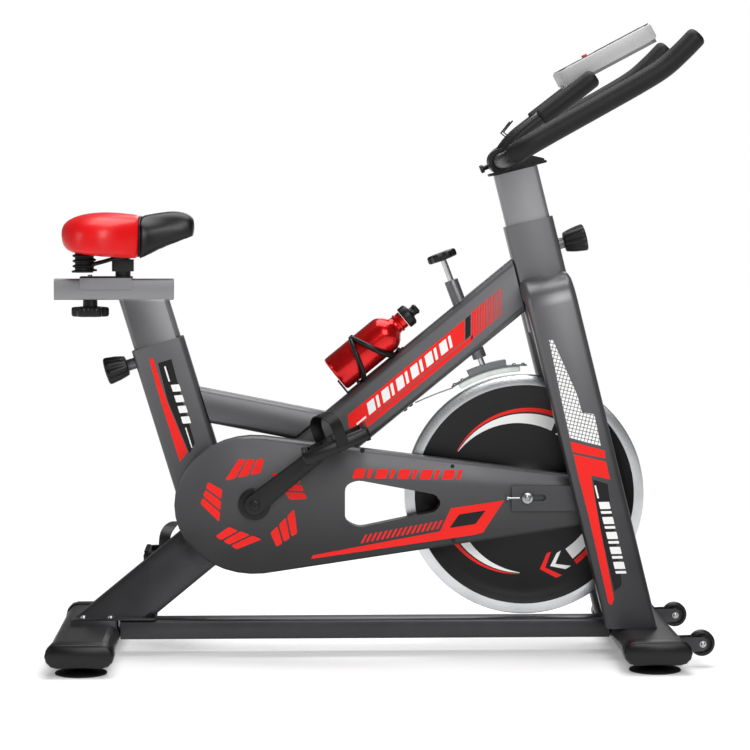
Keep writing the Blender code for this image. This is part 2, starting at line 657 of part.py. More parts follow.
def make_pedal(name, side, material):
    """A platform pedal with two windows and a bore for its axle."""
    centre = pedal_point(side)
    matrix = pedal_frame(side)
    low, high = PEDAL_Y - PEDAL_HALF_Y, PEDAL_Y + PEDAL_HALF_Y
    outline = rounded_rectangle(PEDAL_LENGTH, PEDAL_THICK, 0.006)
    slim = rounded_rectangle(PEDAL_LENGTH - 0.006, PEDAL_THICK - 0.006, 0.004)
    pedal = prism(name, matrix, [(low, slim), (low + 0.003, outline), (high - 0.003, outline), (high, slim)],
                  material, pivot=centre)
    up = 1 if side == RIGHT else -1
    for offset in (-0.033, 0.033):
        window_frame = matrix @ Matrix.Translation((offset, 0, PEDAL_Y)) @ Matrix.Rotation(math.pi / 2, 4, "X")
        window = rounded_rectangle(0.026, 0.074, 0.004, 2)
        cut(pedal, prism("pedal_window", window_frame, [(-0.02 * up, window), (0.02 * up, window)], material))
    return cut(pedal, turned("pedal_bore", matrix, [(0.0070, low - 0.01), (0.0070, high - 0.0055)], material, sides=14))


def make_toe_strap(name, side, material):
    """The strap that arches over the shoe from one side of the pedal to the other."""
    inner, outer = PEDAL_Y - PEDAL_HALF_Y - 0.0018, PEDAL_Y + PEDAL_HALF_Y + 0.0018
    up = -1 if side == RIGHT else 1
    stops = [(-0.020, -0.004, inner), (-0.021, 0.020, inner + 0.001), (-0.018, 0.040, inner + 0.012),
             (-0.008, 0.052, PEDAL_Y - 0.018), (0.003, 0.052, PEDAL_Y + 0.018), (0.012, 0.040, outer - 0.012),
             (0.013, 0.020, outer - 0.001), (0.011, -0.004, outer)]
    matrix = pedal_frame(side)
    rings = []
    points = smooth_path([Vector(stop) for stop in stops], 3)
    for i, point in enumerate(points):
        ahead = points[min(i + 1, len(points) - 1)] - points[max(i - 1, 0)]
        across = Vector((1, 0, 0)) - ahead * ahead.x / ahead.length_squared
        across.normalize()
        out = ahead.normalized().cross(across)
        corners = [across * u * 0.0095 + out * v * 0.0013 for u, v in ((1, 1), (-1, 1), (-1, -1), (1, -1))]
        rings.append([matrix @ Vector((p.x, -up * p.y, p.z)) for p in (point + corner for corner in corners)])
    return build(name, rings, material, pivot=pedal_point(side))


# ---- belt guard --------------------------------------------------------------------------------
def guard_outline():
    """Egg-shaped rear end round the crank, straight top and bottom, round nose at the axle."""
    centre, nose = Vector(GUARD_CENTRE), Vector(GUARD_FRONT)
    points = []
    for step in range(21):
        angle = math.radians(83) + math.radians(194) * step / 20
        points.append((centre.x + GUARD_SEMI_X * math.cos(angle), centre.y + GUARD_SEMI_Z * math.sin(angle)))
    for step in range(9):
        angle = math.radians(-82) + math.radians(164) * step / 8
        points.append((nose.x + GUARD_FRONT_R * math.cos(angle), nose.y + GUARD_FRONT_R * math.sin(angle)))
    return points


def round_corners(corners, radius, steps=3):
    """An outline whose corners are replaced by arcs of about the given radius."""
    points = []
    for i, corner in enumerate(corners):
        here = Vector(corner)
        back, ahead = Vector(corners[i - 1]) - here, Vector(corners[(i + 1) % len(corners)]) - here
        reach = min(radius, 0.45 * back.length, 0.45 * ahead.length)
        start, end = here + back.normalized() * reach, here + ahead.normalized() * reach
        for step in range(steps + 1):
            t = step / steps
            points.append(tuple(start * (1 - t) ** 2 + here * 2 * t * (1 - t) + end * t * t))
    return points


def make_guard_outer(material):
    """The outer tray of the belt guard with its lipped window."""
    shape = guard_outline()
    bore = offset_outline(shape, GUARD_WALL)
    face = offset_outline(shape, 0.0035)
    rings = [xz_ring(bore, GUARD_OUT_Y + GUARD_WALL), xz_ring(bore, GUARD_IN_Y), xz_ring(shape, GUARD_IN_Y),
             xz_ring(shape, GUARD_OUT_Y + 0.0035), xz_ring(face, GUARD_OUT_Y)]
    tray = build("guard_outer", rings, material)
    window = round_corners(WINDOW, 0.010)
    lip = offset_outline(window, GUARD_WALL)
    weld(tray, build("window_wall", [xz_ring(lip, GUARD_OUT_Y + 0.001), xz_ring(lip, GUARD_IN_Y)], material))
    cut(tray, build("window_cut", [xz_ring(window, -0.08), xz_ring(window, 0.0)], material))
    cut(tray, turned("spindle_hole", y_frame(CRANK), [(0.0105, 0.03), (0.0105, 0.07)], material, sides=24))
    return cut(tray, turned("axle_hole", y_frame(FLYWHEEL), [(0.0105, 0.03), (0.0105, 0.07)], material, sides=20))


def make_guard_inner(material):
    """The flat inner cover between the belt and the flywheel."""
    shape = guard_outline()
    plate = build("guard_inner", [xz_ring(shape, GUARD_PLATE_Y[0]), xz_ring(shape, GUARD_PLATE_Y[1])], material)
    window = offset_outline(round_corners(WINDOW, 0.010), GUARD_WALL)
    cut(plate, build("plate_window_cut", [xz_ring(window, -0.03), xz_ring(window, -0.01)], material))
    cut(plate, turned("plate_spindle_hole", y_frame(CRANK), [(0.0105, 0.01), (0.0105, 0.03)], material, sides=24))
    return cut(plate, turned("plate_hub_hole", y_frame(FLYWHEEL), [(0.0165, 0.01), (0.0165, 0.03)], material, sides=24))


# ---- brake -------------------------------------------------------------------------------------
def brake_frame():
    """Local Z runs down the plunger, local X forward and up beside it."""
    return frame(BRAKE_KNOB, BRAKE_DOWN, BRAKE_SIDE)


def arc_ring(radius, first, last, steps, y):
    """Points on a circle about the flywheel's axis, from one angle to another."""
    return [Vector((FLYWHEEL.x + radius * math.cos(a), y, FLYWHEEL.z + radius * math.sin(a)))
            for a in (first + (last - first) * i / steps for i in range(steps + 1))]


PAD_ANGLES = (math.radians(121.0), math.radians(92.0))
PAD_INNER_R = FLYWHEEL_R + PAD_TRAVEL + 0.0006
PAD_OUTER_R = PAD_INNER_R + 0.0090


def make_brake_plunger(material):
    """The threaded rod with the curved pad carrier at its lower end."""
    pivot = BRAKE_KNOB
    rod = turned("brake_plunger", brake_frame(), [(BRAKE_ROD_R, 0.0060), (BRAKE_ROD_R, 0.2000)],
                 material, sides=14, pivot=pivot)
    low, high = PAD_OUTER_R + FIT, PAD_OUTER_R + 0.0090
    first, last = PAD_ANGLES[0] + 0.05, PAD_ANGLES[1] - 0.05
    rings = [arc_ring(low, first, last, 8, -PAD_HALF_Y) + arc_ring(high, last, first, 8, -PAD_HALF_Y),
             arc_ring(low, first, last, 8, PAD_HALF_Y) + arc_ring(high, last, first, 8, PAD_HALF_Y)]
    return weld(rod, build("pad_carrier", rings, material))


def make_brake_pad(material):
    """The felt pad, curved to the rim and held just clear of it."""
    rings = [arc_ring(PAD_INNER_R, *PAD_ANGLES, 10, y) + arc_ring(PAD_OUTER_R, *PAD_ANGLES[::-1], 10, y)
             for y in (-PAD_HALF_Y, PAD_HALF_Y)]
    return build("brake_pad", rings, material, pivot=BRAKE_KNOB)


def make_brake_knob(material):
    wide, slim = fluted(0.0250, 0.0035, 6), fluted(0.0225, 0.0030, 6)
    return prism("brake_knob", brake_frame(), [(-0.0075, slim), (-0.0055, wide), (0.0035, wide), (0.0057, slim)],
                 material, pivot=BRAKE_KNOB)


# ---- seat group --------------------------------------------------------------------------------
def hollow_post(name, matrix, size, low, high_plane, material):
    """A rectangular tube from a square foot up to a plane."""
    outer = rounded_rectangle(*size, 0.0075)
    bore = rounded_rectangle(size[0] - 2 * POST_WALL, size[1] - 2 * POST_WALL, 0.0050)
    rings = [ring(matrix, outer, low), ring_on_plane(matrix, outer, *high_plane),
             ring_on_plane(matrix, bore, *high_plane), ring(matrix, bore, low)]
    return build(name, rings, material, closed=True)


def slot_post(post, centre, outward, up, pin_drop, travel, material):
    """Cuts the long slot that the height pin's nose runs in through one wall of a post."""
    low, high = pin_drop + travel[0] - PIN_SLOT_HALF, pin_drop + travel[1] + PIN_SLOT_HALF
    outline = [(u - (low + high) / 2, v) for u, v in rounded_rectangle(high - low, 2 * PIN_SLOT_HALF, 0.0046, 3)]
    return cut(post, prism("pin_slot", frame(centre, outward, up), [(0.020, outline), (0.060, outline)], material))


def make_seat_post(material):
    """The sliding post with the level carriage welded across its top."""
    plane = ((0, 0, CARRIAGE_Z[0] + 0.001), Vector((0, 0, 1)))
    post = hollow_post("seat_post", frame(SEAT_TOP, SEAT_UP, SEAT_FRONT), SEAT_POST_SIZE,
                       -SEAT_POST_INSERT, plane, material)
    weld(post, make_carriage(material))
    return slot_post(post, SEAT_TOP, -SEAT_FRONT, SEAT_UP, SEAT_PIN_DROP, SEAT_TRAVEL, material)


def make_carriage(material):
    """The level rail on the post, open at both ends and slotted for the clamp bolt."""
    height, middle = CARRIAGE_Z[1] - CARRIAGE_Z[0], (CARRIAGE_Z[0] + CARRIAGE_Z[1]) / 2
    outer = rounded_rectangle(2 * CARRIAGE_HALF_Y, height, 0.003, 2)
    bore = rounded_rectangle(2 * CARRIAGE_HALF_Y - 0.005, height - 0.005, 0.002, 2)
    matrix = frame((0, 0, middle), (1, 0, 0), (0, 1, 0))
    rings = [ring(matrix, outer, CARRIAGE_X[0]), ring(matrix, outer, CARRIAGE_X[1]),
             ring(matrix, bore, CARRIAGE_X[1]), ring(matrix, bore, CARRIAGE_X[0])]
    rail = build("carriage", rings, material, closed=True)
    slot = block("bolt_slot", (STAR_KNOB_X - 0.042, -0.0048, CARRIAGE_Z[0] - 0.01),
                 (STAR_KNOB_X + 0.021, 0.0048, CARRIAGE_Z[1] + 0.01), 0.0047, material)
    return cut(rail, slot)


def make_slider(material):
    """The folded saddle slide that straddles the carriage."""
    top, sheet, inner = CARRIAGE_Z[1] + FIT, 0.0016, CARRIAGE_HALF_Y + FIT
    outer = inner + 0.0022
    section = [(-outer, SLIDER_BOTTOM_Z), (-outer, top + sheet), (outer, top + sheet), (outer, SLIDER_BOTTOM_Z),
               (inner, SLIDER_BOTTOM_Z), (inner, top), (-inner, top), (-inner, SLIDER_BOTTOM_Z)]
    rings = [[Vector((x, y, z)) for y, z in section] for x in SLIDER_X]
    slide = build("saddle_slider", rings, material)
    return cut(slide, turned("bolt_hole", frame((STAR_KNOB_X, 0, 0), (0, 0, 1), (1, 0, 0)),
                             [(0.0046, CARRIAGE_Z[1] - 0.01), (0.0046, CARRIAGE_Z[1] + 0.01)], material, sides=14))


SLIDE_TOP_Z = CARRIAGE_Z[1] + FIT + 0.0016
PLATE_TOP_Z = SLIDE_TOP_Z + FIT + 0.0018


def make_saddle_stem(material):
    """The black plate on the slider with its round stem and the block that clamps the rails."""
    low = (SLIDER_X[0], -CARRIAGE_HALF_Y, SLIDE_TOP_Z + FIT)
    high = (SLIDER_X[1], CARRIAGE_HALF_Y, PLATE_TOP_Z)
    plate = block("saddle_stem", low, high, 0.003, material)
    matrix = frame((SADDLE_STEM_X, 0, 0), (0, 0, 1), (1, 0, 0))
    weld(plate, turned("stem_tube", matrix, [(0.0127, SLIDE_TOP_Z + 0.001), (0.0127, 0.6600)], material, sides=20))
    weld(plate, block("clamp_block", (SADDLE_STEM_X - 0.0175, -0.0175, 0.6395), (SADDLE_STEM_X + 0.0175, 0.0175, 0.6590),
                      0.004, material))
    bolt_frame = frame((STAR_KNOB_X, 0, 0), (0, 0, 1), (1, 0, 0))
    return cut(plate, turned("stud_hole", bolt_frame, [(0.0046, SLIDE_TOP_Z - 0.01), (0.0046, SLIDE_TOP_Z + 0.02)],
                             material, sides=14))


def make_saddle_rails(material):
    """One bent wire, from a spring forward to the nose and back to the other spring."""
    right = [(-0.4757, -0.0430, 0.6510), (-0.4560, -0.0330, 0.6560), (-0.4400, -0.0235, 0.6605),
             (-0.4150, -0.0215, 0.6625), (-0.3850, -0.0190, 0.6660), (-0.3600, -0.0120, 0.6730)]
    left = [tuple(p) for p in reversed(mirrored(right))]
    path = smooth_path([*right, (-0.3540, 0, 0.6760), *left], 3)
    return swept("saddle_rails", path, circle(0.0034, 8), material)


def make_saddle_spring(name, side, material):
    """A stack of rubber flanges between the rails and the saddle's pan."""
    low, high = SPRING_Z
    profile = [(0.0120, low)]
    for i in range(3):
        z = low + 0.0050 + i * 0.0108
        profile += [(0.0120, z), (0.0168, z + 0.0012), (0.0168, z + 0.0026), (0.0120, z + 0.0038)]
    profile.append((0.0120, high))
    matrix = frame((SPRING_X, side * SPRING_Y, 0), (0, 0, 1), (1, 0, 0))
    return turned(name, matrix, profile, material, sides=12)


# Each saddle station: x, half width, top height at the middle, underside height, and the drop of its edge.
SADDLE_REAR = ((-0.5270, 0.018, 0.7080, 0.6860, 0.000), (-0.5215, 0.048, 0.7220, 0.6800, 0.002),
               (-0.5080, 0.074, 0.7320, 0.6765, 0.005), (-0.4880, 0.090, 0.7362, 0.6755, 0.008),
               (-0.4600, 0.096, 0.7368, 0.6750, 0.012), (-0.4340, 0.088, 0.7350, 0.6740, 0.015),
               (-0.4120, 0.070, 0.7325, 0.6735, 0.017), (-0.3960, 0.054, 0.7315, 0.6730, 0.018))
SADDLE_FRONT = ((-0.3957, 0.052, 0.7325, 0.6735, 0.018), (-0.3800, 0.042, 0.7352, 0.6790, 0.019),
                (-0.3600, 0.034, 0.7385, 0.6850, 0.018), (-0.3400, 0.029, 0.7402, 0.6920, 0.016),
                (-0.3220, 0.026, 0.7365, 0.6975, 0.013), (-0.3110, 0.021, 0.7275, 0.7005, 0.009),
                (-0.3070, 0.012, 0.7190, 0.7030, 0.004))


def saddle_section(station, steps=8):
    """A padded section: crowned on top, flat underneath, its edges drooping."""
    x, half, top, under, drop = station
    points = []
    for step in range(steps + 1):
        angle = math.pi * step / steps
        across = math.copysign(abs(math.cos(angle)) ** 0.62, math.cos(angle))
        rise = math.sin(angle) ** 0.55
        edge = under - drop + 0.006
        points.append(Vector((x, half * across, edge + (top - edge) * rise)))
    points += [Vector((x, half * share, under)) for share in (-0.82, 0, 0.82)]
    return points


def make_saddle_part(name, stations, material):
    return build(name, [saddle_section(station) for station in stations], material)


def make_height_knob(name, centre, outward, up, near, material):
    """A tapered fluted knob on the pull pin that runs in the post's slot."""
    matrix = frame(centre, outward, up)
    knob = prism(name, matrix, [(near, fluted(0.0150, 0.0012, 7)), (near + 0.006, fluted(0.0175, 0.0018, 7)),
                                (near + 0.031, fluted(0.0232, 0.0030, 7)), (near + 0.0375, fluted(0.0200, 0.0022, 7))],
                 material, pivot=centre)
    return knob, matrix


def make_pull_knob(name, centre, outward, up, near, tip, material):
    knob, matrix = make_height_knob(name, centre, outward, up, near, material)
    return weld(knob, turned("pin", matrix, [(0.0040, tip), (0.0040, near + 0.004)], material, sides=12))


def make_star_knob(material):
    """The star knob under the carriage with its clamp bolt up through the slots."""
    matrix = frame((STAR_KNOB_X, 0, CARRIAGE_Z[0]), (0, 0, -1), (1, 0, 0))
    star, slim = fluted(0.0312, 0.0060, 6, 4), fluted(0.0292, 0.0055, 6, 4)
    stem = fluted(0.0122, 0.0004, 6, 4)
    pivot = (STAR_KNOB_X, 0, CARRIAGE_Z[0])
    knob = prism("fore_aft_knob", matrix, [(FIT, stem), (0.0115, stem), (0.0120, slim), (0.0140, star),
                                           (0.0265, star), (0.0282, slim)], material, pivot=pivot)
    return weld(knob, turned("clamp_bolt", matrix, [(0.0040, -0.0412), (0.0040, 0.004)], material, sides=12))


# ---- handlebar group ---------------------------------------------------------------------------
POST_TOP_DROP = -HEAD_POST_RISE


def make_handlebar_post(material):
    plane = (HEAD_TOP + HEAD_UP * HEAD_POST_RISE, HEAD_UP)
    post = hollow_post("handlebar_post", frame(HEAD_TOP, HEAD_UP, HEAD_FRONT), HEAD_POST_SIZE,
                       -HEAD_POST_INSERT, plane, material)
    return slot_post(post, HEAD_TOP, HEAD_FRONT, HEAD_UP, HEAD_PIN_DROP, HEAD_TRAVEL, material)


def make_stem_clamp(material):
    """The plate on the post with the round housing that grips the cross bar."""
    matrix = frame(HEAD_TOP + HEAD_UP * (HEAD_POST_RISE + FIT), HEAD_UP, HEAD_FRONT)
    outline = [(u + 0.004, v) for u, v in rounded_rectangle(0.098, 0.044, 0.004, 2)]
    clamp = prism("stem_clamp", matrix, [(0, outline), (0.0045, outline)], material)
    cross = frame(BAR_CROSS, (0, 1, 0), HEAD_FRONT)
    weld(clamp, turned("bar_housing", cross, [(0.0203, -0.024), (0.0203, 0.024)], material, sides=24))
    rib = [(-0.020, 0.002), (0.050, 0.002), (0.050, 0.008), (0.030, 0.018), (0.000, 0.020), (-0.020, 0.010)]
    rib_frame = frame(HEAD_TOP + HEAD_UP * (HEAD_POST_RISE + FIT), (0, 1, 0), HEAD_FRONT)
    weld(clamp, prism("clamp_rib", rib_frame, [(-0.018, [(u, -v) for u, v in rib]),
                                               (0.018, [(u, -v) for u, v in rib])], material))
    return cut(clamp, turned("bar_bore", cross, [(BAR_R + FIT, -0.04), (BAR_R + FIT, 0.04)], material, sides=24))


def grip_path():
    """Centre line of the right outer bar, from the cross bar out, forward and up."""
    return [(0.2000, -0.1000, 0.8220), (0.2010, -0.1350, 0.8225), (0.2080, -0.1640, 0.8280), (0.2300, -0.1790, 0.8425),
            (0.2700, -0.1800, 0.8655), (0.3400, -0.1800, 0.9045), (0.4100, -0.1800, 0.9440),
            (0.4480, -0.1800, 0.9680), (0.4760, -0.1800, 0.9930), (0.4980, -0.1800, 1.0155)]


def inner_path(side):
    return [(BAR_CROSS.x, side * INNER_Y, BAR_CROSS.z), (0.2120, side * INNER_Y, 0.8440),
            (0.2300, side * INNER_Y, 0.8650), (0.2620, side * INNER_Y, 0.8905), (0.2990, side * INNER_Y, 0.9190),
            (0.3440, side * INNER_Y, 0.9540)]


def make_handlebar(material):
    """The bent outer bar and the two short inner bars welded to its cross piece."""
    right = shortened(smooth_path(grip_path(), 2), BAR_END_GAP)
    left = mirrored(right)
    bar = swept("handlebar", [*reversed(right), *left], circle(BAR_R, 10), material)
    for side in SIDES.values():
        path = shortened(smooth_path(inner_path(side), 2), BAR_END_GAP)
        weld(bar, swept("inner_bar", path, circle(INNER_BAR_R, 10), material))
    return bar


def make_outer_grip(name, side, material):
    path = smooth_path(grip_path(), 2)[5:]
    path = path if side == RIGHT else mirrored(path)
    return sleeve(name, path, BAR_R + GRIP_GAP, GRIP_R, material, 10, 0.009)


def make_inner_grip(name, side, material):
    path = smooth_path(inner_path(side), 2)[6:]
    return sleeve(name, path, INNER_BAR_R + GRIP_GAP, INNER_GRIP_R, material, 10, 0.008)


def console_frame():
    """Local X runs up the console's long side, local Z out of its screen."""
    long_side = Vector((math.cos(CONSOLE_TILT), 0, math.sin(CONSOLE_TILT)))
    return frame(CONSOLE_CENTRE, (-math.sin(CONSOLE_TILT), 0, math.cos(CONSOLE_TILT)), long_side)


def make_console(material):
    length, width, depth = CONSOLE_SIZE
    half = depth / 2
    outline = rounded_rectangle(length, width, 0.014)
    face = rounded_rectangle(length - 0.008, width - 0.008, 0.011)
    back = rounded_rectangle(length - 0.016, width - 0.016, 0.009)
    console = prism("console", console_frame(), [(-half, back), (-half + 0.009, outline), (half - 0.003, outline),
                                                 (half, face)], material)
    return cut(console, turned("button_well", button_frame(), [(0.0056, -0.006), (0.0056, 0.02)], material, sides=16))


def button_frame():
    return console_frame() @ Matrix.Translation((-0.0290, 0, CONSOLE_SIZE[2] / 2))


def make_console_button(material):
    profile = [(0.0050, -0.0026), (0.0050, 0.0030), (0.0040, 0.0042)]
    centre = button_frame().translation
    return turned("console_button", button_frame(), profile, material, sides=16, pivot=centre)


def strip(name, points, width, thickness, material):
    """A bent sheet strip whose path lies in an XZ plane."""
    rings = []
    for i, point in enumerate(points):
        here = Vector(point)
        ahead = Vector(points[min(i + 1, len(points) - 1)]) - Vector(points[max(i - 1, 0)])
        out = ahead.normalized().cross(Vector((0, 1, 0))) * thickness / 2
        across = Vector((0, width / 2, 0))
        rings.append([here + across + out, here - across + out, here - across - out, here + across - out])
    return build(name, rings, material)


def make_console_bracket(material):
    """The flat stalk from the bar housing to the console, with the small plate and hooks a phone stands in."""
    foot = BAR_CROSS + Vector((0.0090, 0, 0.0230))
    points = [foot, (0.2240, 0, 0.8620), (0.2700, 0, 0.9045), (0.3120, 0, 0.9415)]
    stalk = strip("console_bracket", points, 0.034, 0.0040, material)
    weld(stalk, strip("phone_plate", [(0.2340, 0, 0.8732), (0.2720, 0, 0.9085)], 0.070, 0.0040, material))
    for y in (-0.028, 0.028):
        hook = [(0.2440, y, 0.8823), (0.2180, y, 0.8580), (0.2040, y, 0.8690), (0.2190, y, 0.8880)]
        weld(stalk, strip("hook", hook, 0.009, 0.0024, material))
    return stalk


def make_clamp_knob(material):
    """The small hand screw at the back of the bar housing."""
    matrix = frame((BAR_CROSS.x - 0.0225, 0, BAR_CROSS.z - 0.0105), (-0.93, 0, -0.37), (0, 1, 0))
    return prism("clamp_knob", matrix, [(-0.0040, circle(0.004, 12)), (0.004, circle(0.004, 12)),
                                        (0.0045, circle(0.0068, 12)), (0.0105, circle(0.0068, 12))], material,
                 pivot=matrix.translation)


# ---- bottle ------------------------------------------------------------------------------------
def bottle_frame():
    """Local Z runs up the bottle, parallel to the beam."""
    return frame(BEAM_POINT + BEAM_UP * BOTTLE_LIFT, BEAM_DIR, BEAM_UP)


def make_bottle(material):
    start = BOTTLE_START
    profile = [(BOTTLE_R - 0.004, start), (BOTTLE_R, start + 0.005), (BOTTLE_R, start + 0.104),
               (BOTTLE_R - 0.0018, start + 0.114), (BOTTLE_R - 0.0080, start + 0.126), (BOTTLE_R - 0.0145, start + 0.134),
               (0.0140, start + 0.139), (0.0140, start + 0.1475)]
    pivot = bottle_frame() @ Vector((0, 0, start))
    return turned("bottle", bottle_frame(), profile, material, sides=20, pivot=pivot)


def make_bottle_cap(material):
    """A screw cap with a narrow drinking spout."""
    start = BOTTLE_START + 0.1478
    profile = [(0.0185, start), (0.0190, start + 0.002), (0.0190, start + 0.011), (0.0165, start + 0.0145),
               (0.0080, start + 0.0155), (0.0080, start + 0.026), (0.0060, start + 0.029)]
    pivot = bottle_frame() @ Vector((0, 0, start))
    return turned("bottle_cap", bottle_frame(), profile, material, sides=20, pivot=pivot)


def make_bottle_cage(material):
    """A spine on the beam, a stop under the bottle and a hoop round it."""
    beam_face = BEAM_DEPTH / 2 + FIT
    def at(along, lift):
        return BEAM_POINT + BEAM_DIR * along + BEAM_UP * lift
    stop_u = BOTTLE_START - 0.0025
    spine = [at(stop_u, BOTTLE_LIFT + 0.012), at(stop_u, beam_face + 0.0040), at(stop_u + 0.003, beam_face + 0.0013),
             at(0.100, beam_face + 0.0013)]
    cage = strip("bottle_cage", spine, 0.018, 0.0026, material)
    hoop_frame = frame(at(0.0200, BOTTLE_LIFT), BEAM_DIR, BEAM_UP)
    inner, outer = BOTTLE_R + 0.0009, BOTTLE_R + 0.0033
    hoop = turned("hoop", hoop_frame, [(inner, 0), (outer, 0), (outer, 0.009), (inner, 0.009)], material, sides=20,
                  bored=True)
    return weld(cage, hoop)


# ---- transport wheels --------------------------------------------------------------------------
def make_transport_wheel(name, side, material):
    centre = Vector((WHEEL_X, side * WHEEL_Y, WHEEL_Z))
    half = 0.0095
    profile = [(0.0040, -half), (0.0160, -half), (WHEEL_R - 0.002, -half), (WHEEL_R, -half + 0.003),
               (WHEEL_R, half - 0.003), (WHEEL_R - 0.002, half), (0.0160, half), (0.0040, half)]
    return turned(name, frame(centre, (0, 1, 0), (1, 0, 0)), profile, material, sides=18, pivot=centre, bored=True)


# ---- assembly ----------------------------------------------------------------------------------
def main():
    clear_scene()
    paint = finish("charcoal_powder_coat", (0.060, 0.060, 0.062), 0.38, 0.3)
    light_paint = finish("grey_powder_coat", (0.320, 0.320, 0.325), 0.42, 0.2)
    plastic = finish("black_plastic", (0.012, 0.012, 0.013), 0.45)
    cover = finish("guard_plastic", (0.045, 0.045, 0.048), 0.40)
    rubber = finish("black_rubber", (0.010, 0.010, 0.010), 0.80)
    steel = finish("polished_steel", (0.560, 0.570, 0.580), 0.22, 1.0)
    foam = finish("foam_grip", (0.018, 0.018, 0.019), 0.85)
    red = finish("red_vinyl", (0.720, 0.010, 0.012), 0.25)
    black_vinyl = finish("black_vinyl", (0.014, 0.014, 0.015), 0.40)
    felt = finish("felt", (0.720, 0.780, 0.740), 0.95)
    shell = finish("console_shell", (0.560, 0.560, 0.570), 0.45)
    bottle_red = finish("bottle_red", (0.600, 0.006, 0.010), 0.18)

    make_rear_stabiliser(paint)
    make_front_stabiliser(paint)
    make_base_bar(paint)
    make_main_beam(paint)
    make_seat_tube(paint)
    make_rear_brace(paint)
    make_head_tube(paint)
    make_guard_outer(cover)
    make_guard_inner(cover)
    make_axle(steel)
    make_belt(rubber)
    make_bottle_cage(plastic)
    for word, side in SIDES.items():
        make_fork_leg(f"fork_leg_{word}", side, paint)
        for place, x in (("rear", REAR_X), ("front", FRONT_X)):
            make_end_cap(f"{place}_cap_{word}", x, side, plastic)
            foot = make_foot(f"{place}_foot_{word}", x, side, rubber)
            body(f"body_{place}_foot_{word}", foot.location.copy(), [foot])
        wheel = make_transport_wheel(f"transport_wheel_{word}", side, rubber)
        body(f"body_wheel_{word}", wheel.location.copy(), [wheel])

    body("body_flywheel", FLYWHEEL, [make_flywheel(steel), make_driven_pulley(steel)])
    body("body_crank", CRANK, [make_spindle(plastic)]
         + [make_crank_arm(f"crank_arm_{word}", side, plastic) for word, side in SIDES.items()])
    for word, side in SIDES.items():
        body(f"body_pedal_{word}", pedal_point(side),
             [make_pedal(f"pedal_{word}", side, plastic), make_toe_strap(f"toe_strap_{word}", side, plastic)])

    body("body_seat_post", SEAT_TOP, [make_seat_post(light_paint)])
    body("body_saddle", (SADDLE_STEM_X, 0, SLIDE_TOP_Z),
         [make_slider(light_paint), make_saddle_stem(plastic), make_saddle_rails(steel),
          make_saddle_part("saddle_rear", SADDLE_REAR, red), make_saddle_part("saddle_nose", SADDLE_FRONT, black_vinyl)]
         + [make_saddle_spring(f"saddle_spring_{word}", side, rubber) for word, side in SIDES.items()])
    knob = make_star_knob(plastic)
    body("body_fore_aft_knob", knob.location.copy(), [knob])
    seat_pin = SEAT_TOP - SEAT_UP * SEAT_PIN_DROP
    body("body_seat_height_knob", seat_pin,
         [make_pull_knob("seat_height_knob", seat_pin, -SEAT_FRONT, SEAT_UP, 0.0590, 0.0380, plastic)])

    head_pin = HEAD_TOP - HEAD_UP * HEAD_PIN_DROP
    body("body_head_height_knob", head_pin,
         [make_pull_knob("head_height_knob", head_pin, HEAD_FRONT, HEAD_UP, 0.0508, 0.0350, plastic)])
    body("body_handlebar", HEAD_TOP,
         [make_handlebar_post(light_paint), make_stem_clamp(plastic), make_handlebar(steel), make_console(shell),
          make_console_bracket(plastic)]
         + [make_outer_grip(f"outer_grip_{word}", side, foam) for word, side in SIDES.items()]
         + [make_inner_grip(f"inner_grip_{word}", side, foam) for word, side in SIDES.items()])
    screw = make_clamp_knob(plastic)
    body("body_clamp_knob", screw.location.copy(), [screw])
    button = make_console_button(red)
    body("body_console_button", button.location.copy(), [button])

    body("body_brake_plunger", BRAKE_KNOB, [make_brake_plunger(steel), make_brake_pad(felt)])
    body("body_brake_knob", BRAKE_KNOB, [make_brake_knob(plastic)])
    bottle = make_bottle(bottle_red)
    body("body_bottle", bottle.location.copy(), [bottle])
    cap = make_bottle_cap(plastic)
    body("body_bottle_cap", cap.location.copy(), [cap])


main()
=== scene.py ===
"""Looks of an indoor spin bike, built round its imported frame: finishes, soft goods, trim and graphics."""

from __future__ import annotations

import json
import logging
import math
from dataclasses import dataclass
from enum import Enum

import bmesh
import bpy
from mathutils import Matrix, Vector

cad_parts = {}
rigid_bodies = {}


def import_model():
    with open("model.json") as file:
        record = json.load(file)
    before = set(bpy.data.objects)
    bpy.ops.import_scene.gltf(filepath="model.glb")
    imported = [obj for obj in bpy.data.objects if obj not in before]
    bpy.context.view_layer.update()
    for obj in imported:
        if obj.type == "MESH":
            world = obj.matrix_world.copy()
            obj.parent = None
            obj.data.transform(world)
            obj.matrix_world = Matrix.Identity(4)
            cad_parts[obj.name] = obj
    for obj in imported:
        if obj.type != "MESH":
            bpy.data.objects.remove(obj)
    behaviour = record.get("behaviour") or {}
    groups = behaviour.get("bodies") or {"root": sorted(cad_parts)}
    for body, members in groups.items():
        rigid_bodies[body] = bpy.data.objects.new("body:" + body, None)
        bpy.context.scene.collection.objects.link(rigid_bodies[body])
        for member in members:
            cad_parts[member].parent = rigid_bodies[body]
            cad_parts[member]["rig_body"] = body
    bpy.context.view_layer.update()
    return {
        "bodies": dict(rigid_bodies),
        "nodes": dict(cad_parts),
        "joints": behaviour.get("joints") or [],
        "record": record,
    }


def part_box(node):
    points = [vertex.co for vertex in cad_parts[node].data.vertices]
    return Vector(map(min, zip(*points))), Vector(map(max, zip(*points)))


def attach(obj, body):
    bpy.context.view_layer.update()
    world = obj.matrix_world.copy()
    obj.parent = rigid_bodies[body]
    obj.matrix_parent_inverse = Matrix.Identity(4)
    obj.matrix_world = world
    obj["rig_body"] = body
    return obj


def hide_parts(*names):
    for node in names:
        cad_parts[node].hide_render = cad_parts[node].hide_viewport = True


LOG = logging.getLogger("spin_bike")
